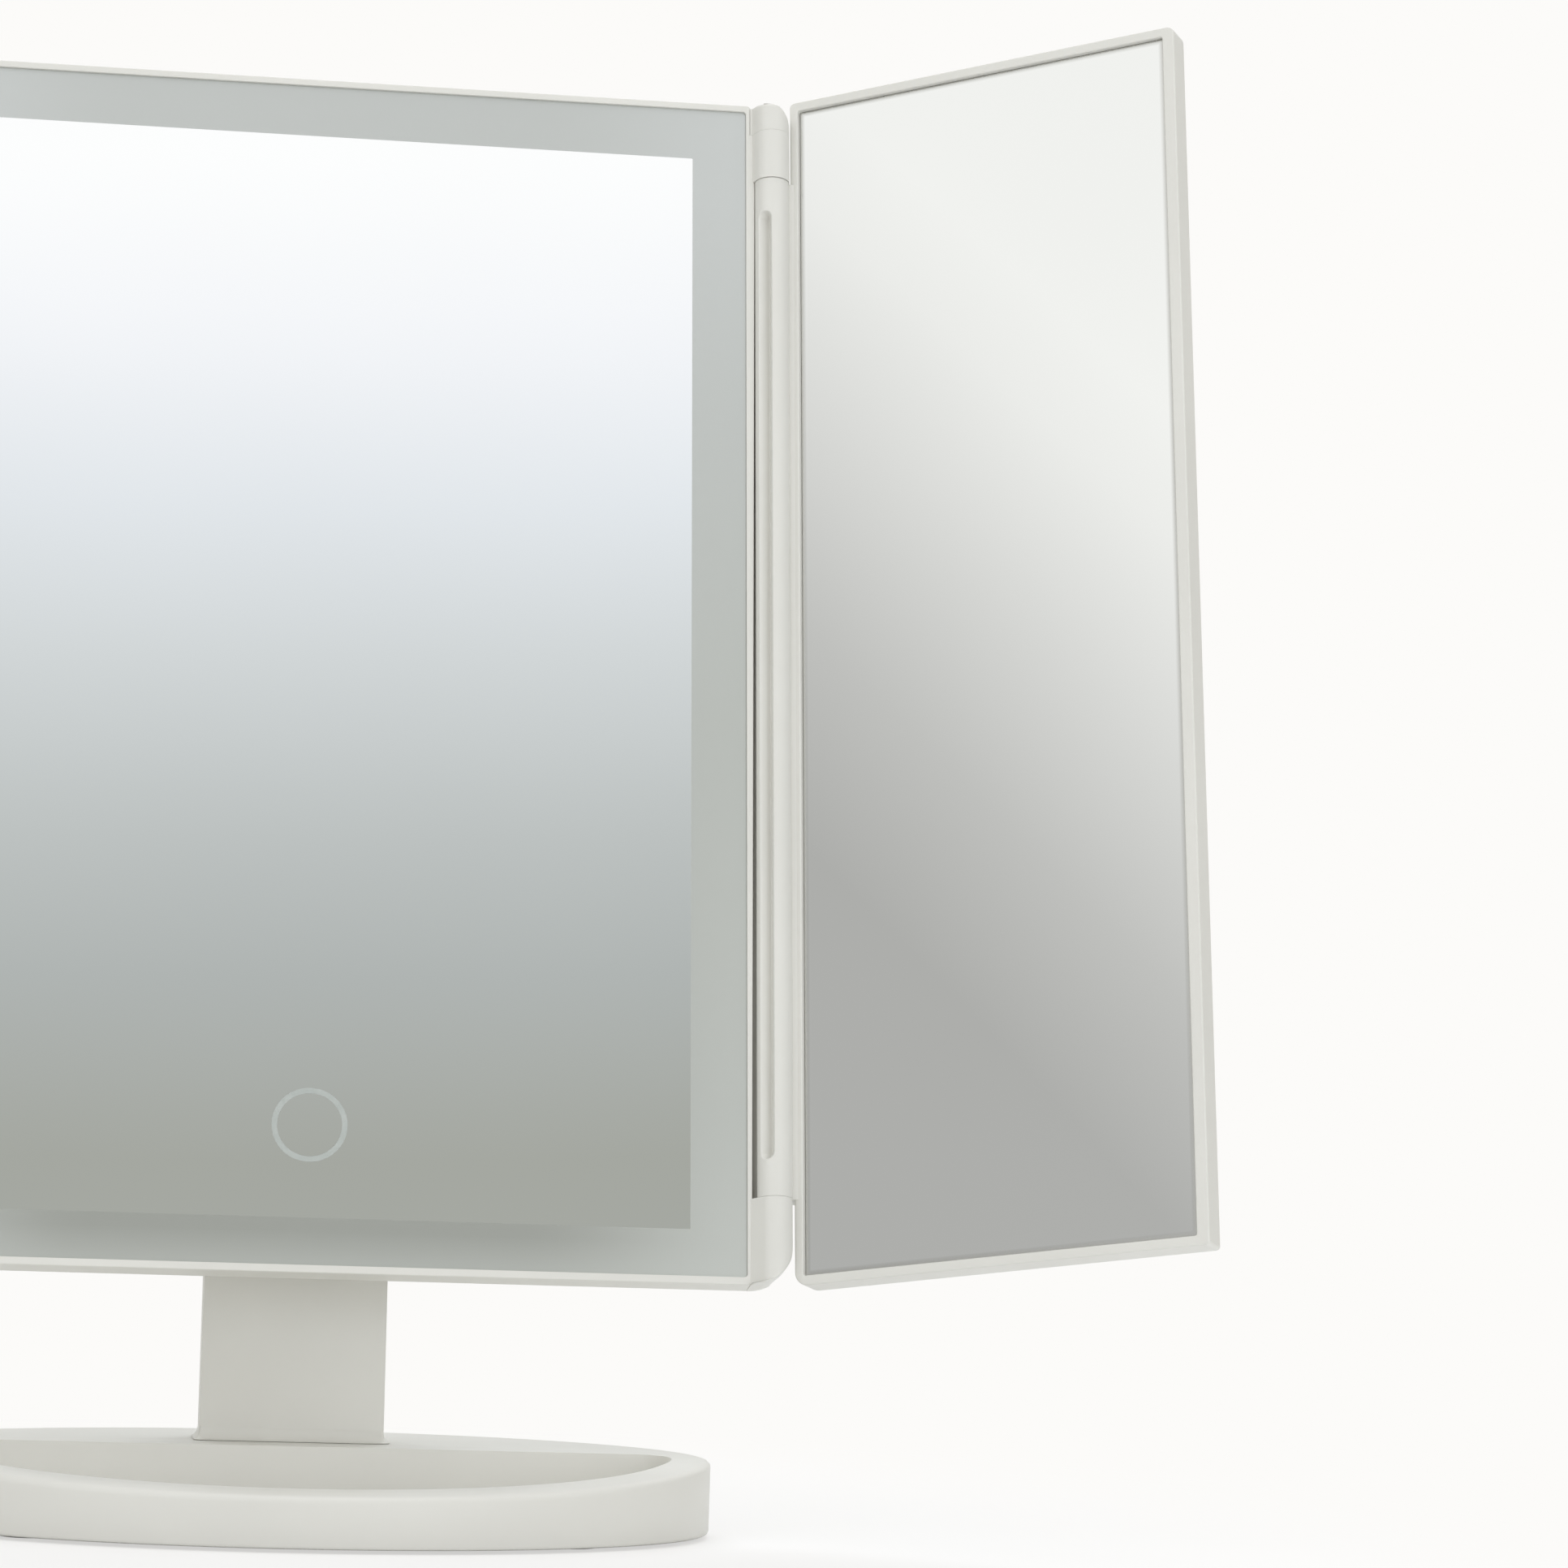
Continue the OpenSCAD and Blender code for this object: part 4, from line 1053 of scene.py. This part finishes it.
def centre_casing():
    """The centre casing with its four hinge ears."""
    shape = bmesh.new()
    outer = (-HALF_W, 0, HALF_W, CENTRE_H)
    glass = (-GLASS_X, GLASS_Z[0], GLASS_X, GLASS_Z[1])
    inner = (-INNER_X, INNER_Z[0], INNER_X, INNER_Z[1])
    seat = shrink(outer, REAR_RIM)
    casing_corners, glass_corners = (CASING_CORNER,) * 4, (GLASS_CORNER,) * 4
    inner_corners, seat_corners = (INNER_CORNER,) * 4, (REAR_CORNER,) * 4
    seat_y = EDGE_T - REAR_T
    loops = eased_edge(outer, casing_corners, EDGE_T, -1, 1, CASING_EASE)[::-1]
    loops += eased_edge(outer, casing_corners, 0, 1, 1, CASING_EASE)
    loops += eased_edge(glass, glass_corners, 0, 1, -1, GLASS_EASE)[::-1]
    loops += [
        round_loop(glass, glass_corners, GLASS_BACK),
        round_loop(inner, inner_corners, GLASS_BACK),
        round_loop(inner, inner_corners, seat_y),
        round_loop(seat, seat_corners, seat_y),
        round_loop(seat, seat_corners, EDGE_T),
    ]
    draw_through(shape, loops, closed=True)
    for side in (1, -1):
        half = hinge_half()
        bmesh.ops.transform(half, matrix=mirrored(side), verts=half.verts)
        bmesh.ops.recalc_face_normals(half, faces=half.faces)
        part = bpy.data.meshes.new("hinge_half")
        half.to_mesh(part)
        half.free()
        shape.from_mesh(part)
        bpy.data.meshes.remove(part)
    build(shape, "centre_casing", "center_frame", PANEL)


def ear_cap(side, name, node):
    """The cap that closes the upper ear."""
    shape = bmesh.new()
    section = ear_outline(TOP_EAR_R, TOP_EAR_FOOT)
    outline = [(max(x, HALF_W + HAIR), y) for x, y in section]
    levels = ear_levels(CAP_SEAM + HAIR, EAR_END, EAR_ROUND_TOP, True)
    stack(shape, outline, levels, ear_trim)
    build(shape, name, node, PANEL @ mirrored(side))


def plan_loop(half_x, half_y, r, middle_y, height):
    """Points of a rounded rectangle seen from above."""
    box = (-half_x, middle_y - half_y, half_x, middle_y + half_y)
    return [(x, y, height) for x, _, y in round_loop(box, (r,) * 4, 0)]


def neck_foot():
    """The spreading foot of the neck, hollow for the strut, with a fine line under it."""
    shape = bmesh.new()
    slope = math.tan(NECK_LEAN)

    def ring(grow, rise, wall=0.0):
        return plan_loop(
            NECK_HALF_X - wall + grow,
            NECK_HALF_Y - wall + grow,
            NECK_CORNER + max(grow, 0),
            NECK_FOOT_Y + slope * rise,
            DECK_Z + rise,
        )

    loops = [ring(grow, rise) for grow, rise in FOOT_LINE]
    for degrees in spread(0, 90, FOOT_ARC_STEPS):
        turn = math.radians(degrees)
        loops.append(
            ring(
                FOOT_GROW * (1 - math.sin(turn)),
                FOOT_EDGE_Z + FOOT_SWEEP * (1 - math.cos(turn)),
            )
        )
    loops.append(ring(0, FOOT_TOP))
    loops += [ring(0, FOOT_TOP, NECK_WALL), ring(0, FOOT_LINE[0][1], NECK_WALL)]
    draw_through(shape, loops, closed=True)
    build(shape, "neck_foot", "neck_front_shell", Matrix.Scale(MM, 4))


# ---------------------------------------------------------------- studio

BACKDROP = "#FCFBF9"

# the light that falls on the object from all round
SKY_TINT = "#FFFBF1"
SKY_LEVEL = 0.56
# reflections turn from the room in front to the softbox at the side between these shares
# of X
SIDE_TURN = (0.3, 0.6)
# the side softbox brightens with height and darkens with X, so its edge runs at a slant
SIDE_BY_HEIGHT = 2.262
SIDE_BY_X = -5.156
SIDE_SHIFT = 3.641
SIDE_FADE = (0.38, 0.91)

# half the floor's side, and the distances at which it fades to the backdrop, in metres
FLOOR_HALF = 4.0
FADE_FROM = 0.13
FADE_TO = 0.30
FLOOR_LIFT = 0.62
FLOOR_SEEN = "#999999"
FLOOR_BOUNCE = "#E7E7E6"

LAMP_TINT = "#F1F6FF"
LAMP_AIM = Vector((0, 0, 0.15))
# each lamp's place and side in metres, and its power in watts
LAMPS = {
    "key_softbox": ((-0.9, -0.9, 1.1), 1.2, 6.5),
    "top_softbox": ((0.3, 0.0, 1.5), 1.4, 7.3),
    "back_softbox": ((0.1, 0.9, 1.3), 1.2, 12.6),
    "low_softbox": ((0.7, -1.5, 0.24), 0.9, 8.4),
}


def studio_sky():
    """White behind the object, a graded room for mirrors and an even light for the rest."""
    world = bpy.data.worlds.new("studio")
    bpy.context.scene.world = world
    world.use_nodes = True
    tree = world.node_tree
    tree.nodes.clear()
    direction = add(tree, "ShaderNodeTexCoord").outputs["Generated"]
    parts = add(tree, "ShaderNodeSeparateXYZ", {"Vector": direction})
    height = parts.outputs["Z"]
    aside = add(
        tree, "ShaderNodeMath", {0: parts.outputs["X"]}, operation="ABSOLUTE"
    ).outputs["Value"]

    # in front of the object: pale at its own height, grey above that and white overhead
    climb = add(
        tree, "ShaderNodeMapRange", {"Value": height, "From Min": -1.0, "From Max": 1.0}
    )
    wall = add(tree, "ShaderNodeValToRGB", {"Fac": climb.outputs["Result"]})
    fill_ramp(
        wall,
        [
            (0.0, "#8F918E"),
            (0.45, "#C9CBC9"),
            (0.525, "#DCDDDB"),
            (0.62, "#BDBFBD"),
            (0.70, "#A9ABA7"),
            (0.735, "#A6A8A2"),
            (0.75, "#B1B5B4"),
            (0.7635, "#C0C4C4"),
            (0.777, "#D3D7D9"),
            (0.79, "#E5E9EE"),
            (0.803, "#F6F7FB"),
            (0.815, "#FEFEFF"),
            (1.0, "#FFFFFF"),
        ],
    )

    # at both sides: a softbox whose edge runs at a slant
    slant = add(
        tree,
        "ShaderNodeMath",
        {0: aside, 1: SIDE_BY_X, 2: SIDE_SHIFT},
        operation="MULTIPLY_ADD",
    )
    rise = add(
        tree,
        "ShaderNodeMath",
        {0: height, 1: SIDE_BY_HEIGHT, 2: slant.outputs["Value"]},
        operation="MULTIPLY_ADD",
    )
    softbox = add(
        tree,
        "ShaderNodeMapRange",
        {
            "Value": rise.outputs["Value"],
            "From Min": SIDE_FADE[0],
            "From Max": SIDE_FADE[1],
        },
    )
    side = add(tree, "ShaderNodeValToRGB", {"Fac": softbox.outputs["Result"]})
    fill_ramp(
        side,
        [
            (0.0, "#AFAFAD"),
            (0.274, "#C1C1BF"),
            (0.557, "#D8D8D6"),
            (0.84, "#EDEDEB"),
            (1.0, "#F3F3F1"),
        ],
    )

    turn = add(
        tree,
        "ShaderNodeMapRange",
        {"Value": aside, "From Min": SIDE_TURN[0], "From Max": SIDE_TURN[1]},
        interpolation_type="SMOOTHSTEP",
    )
    room = add(
        tree,
        "ShaderNodeMix",
        {
            "Factor": turn.outputs["Result"],
            "A": wall.outputs["Color"],
            "B": side.outputs["Color"],
        },
        data_type="RGBA",
    )
    seen = add(
        tree,
        "ShaderNodeBackground",
        {"Color": room.outputs[MIX_COLOUR], "Strength": 1.0},
    )
    even = add(
        tree,
        "ShaderNodeBackground",
        {"Color": linear(SKY_TINT), "Strength": SKY_LEVEL},
    )
    behind = add(
        tree, "ShaderNodeBackground", {"Color": linear(BACKDROP), "Strength": 1.0}
    )
    path = add(tree, "ShaderNodeLightPath")
    lit = add(
        tree,
        "ShaderNodeMixShader",
        {
            0: path.outputs["Is Glossy Ray"],
            1: even.outputs["Background"],
            2: seen.outputs["Background"],
        },
    )
    through = add(
        tree,
        "ShaderNodeMath",
        {0: path.outputs["Is Camera Ray"], 1: path.outputs["Is Transmission Ray"]},
        operation="MAXIMUM",
    )
    final = add(
        tree,
        "ShaderNodeMixShader",
        {0: through.outputs["Value"], 1: lit.outputs["Shader"], 2: behind.outputs[0]},
    )
    add(tree, "ShaderNodeOutputWorld", {"Surface": final.outputs["Shader"]})


def soft_lamp(name, place, size, power):
    """A large square softbox aimed at the middle of the mirror, unseen by the mirrors."""
    data = bpy.data.lights.new(name, "AREA")
    data.shape = "SQUARE"
    data.size = size
    data.energy = power
    data.color = linear(LAMP_TINT)[:3]
    lamp = into_scene(name, data)
    aim = LAMP_AIM - Vector(place)
    lamp.rotation_mode = "QUATERNION"
    lamp.rotation_quaternion = aim.to_track_quat("-Z", "Y")
    lamp.location = place
    lamp.visible_glossy = False
    lamp.visible_camera = False


def studio_floor():
    """A pale floor that keeps the soft shadow near the object and fades to the backdrop."""
    shape = bmesh.new()
    bmesh.ops.create_grid(shape, x_segments=2, y_segments=2, size=FLOOR_HALF)
    mesh = bpy.data.meshes.new("studio_floor")
    shape.to_mesh(mesh)
    shape.free()
    floor = into_scene("studio_floor", mesh)
    material = bpy.data.materials.new("pale_floor")
    material.use_nodes = True
    tree = material.node_tree
    tree.nodes.clear()
    place = add(tree, "ShaderNodeTexCoord").outputs["Object"]
    away = add(tree, "ShaderNodeVectorMath", {0: place}, operation="LENGTH")
    fade = add(
        tree,
        "ShaderNodeMapRange",
        {
            "Value": away.outputs["Value"],
            "From Min": FADE_FROM,
            "From Max": FADE_TO,
        },
        interpolation_type="SMOOTHSTEP",
    )
    paper = add(tree, "ShaderNodeBsdfDiffuse", {"Color": linear(FLOOR_SEEN)})
    lift = add(
        tree, "ShaderNodeEmission", {"Color": linear(BACKDROP), "Strength": FLOOR_LIFT}
    )
    near = add(
        tree,
        "ShaderNodeAddShader",
        {0: paper.outputs["BSDF"], 1: lift.outputs["Emission"]},
    )
    far = add(
        tree, "ShaderNodeEmission", {"Color": linear(BACKDROP), "Strength": 1.0}
    )
    shown = add(
        tree,
        "ShaderNodeMixShader",
        {
            0: fade.outputs["Result"],
            1: near.outputs["Shader"],
            2: far.outputs["Emission"],
        },
    )
    bounce = add(tree, "ShaderNodeBsdfDiffuse", {"Color": linear(FLOOR_BOUNCE)})
    path = add(tree, "ShaderNodeLightPath")
    final = add(
        tree,
        "ShaderNodeMixShader",
        {
            0: path.outputs["Is Camera Ray"],
            1: bounce.outputs["BSDF"],
            2: shown.outputs["Shader"],
        },
    )
    add(tree, "ShaderNodeOutputMaterial", {"Surface": final.outputs["Shader"]})
    mesh.materials.append(material)


bpy.context.scene.view_settings.view_transform = "Standard"
place_camera()
dress_all_nodes()
for word, side in (("right", 1), ("left", -1)):
    wing_casing(side, word + "_wing_casing", word + "_wing_frame")
    wing_pane(side, word + "_wing_pane", word + "_wing_mirror")
    ear_cap(side, word + "_ear_cap", word + "_hinge_cap")
centre_casing()
soften("neck_front_shell", NECK_SOFT_MM, floor_mm=DECK_Z + FOOT_TOP)
neck_foot()
for node, radius_mm in SOFT_RADIUS_MM.items():
    soften(node, radius_mm)
studio_sky()
studio_floor()
for name, (place, size, power) in LAMPS.items():
    soft_lamp(name, place, size, power)
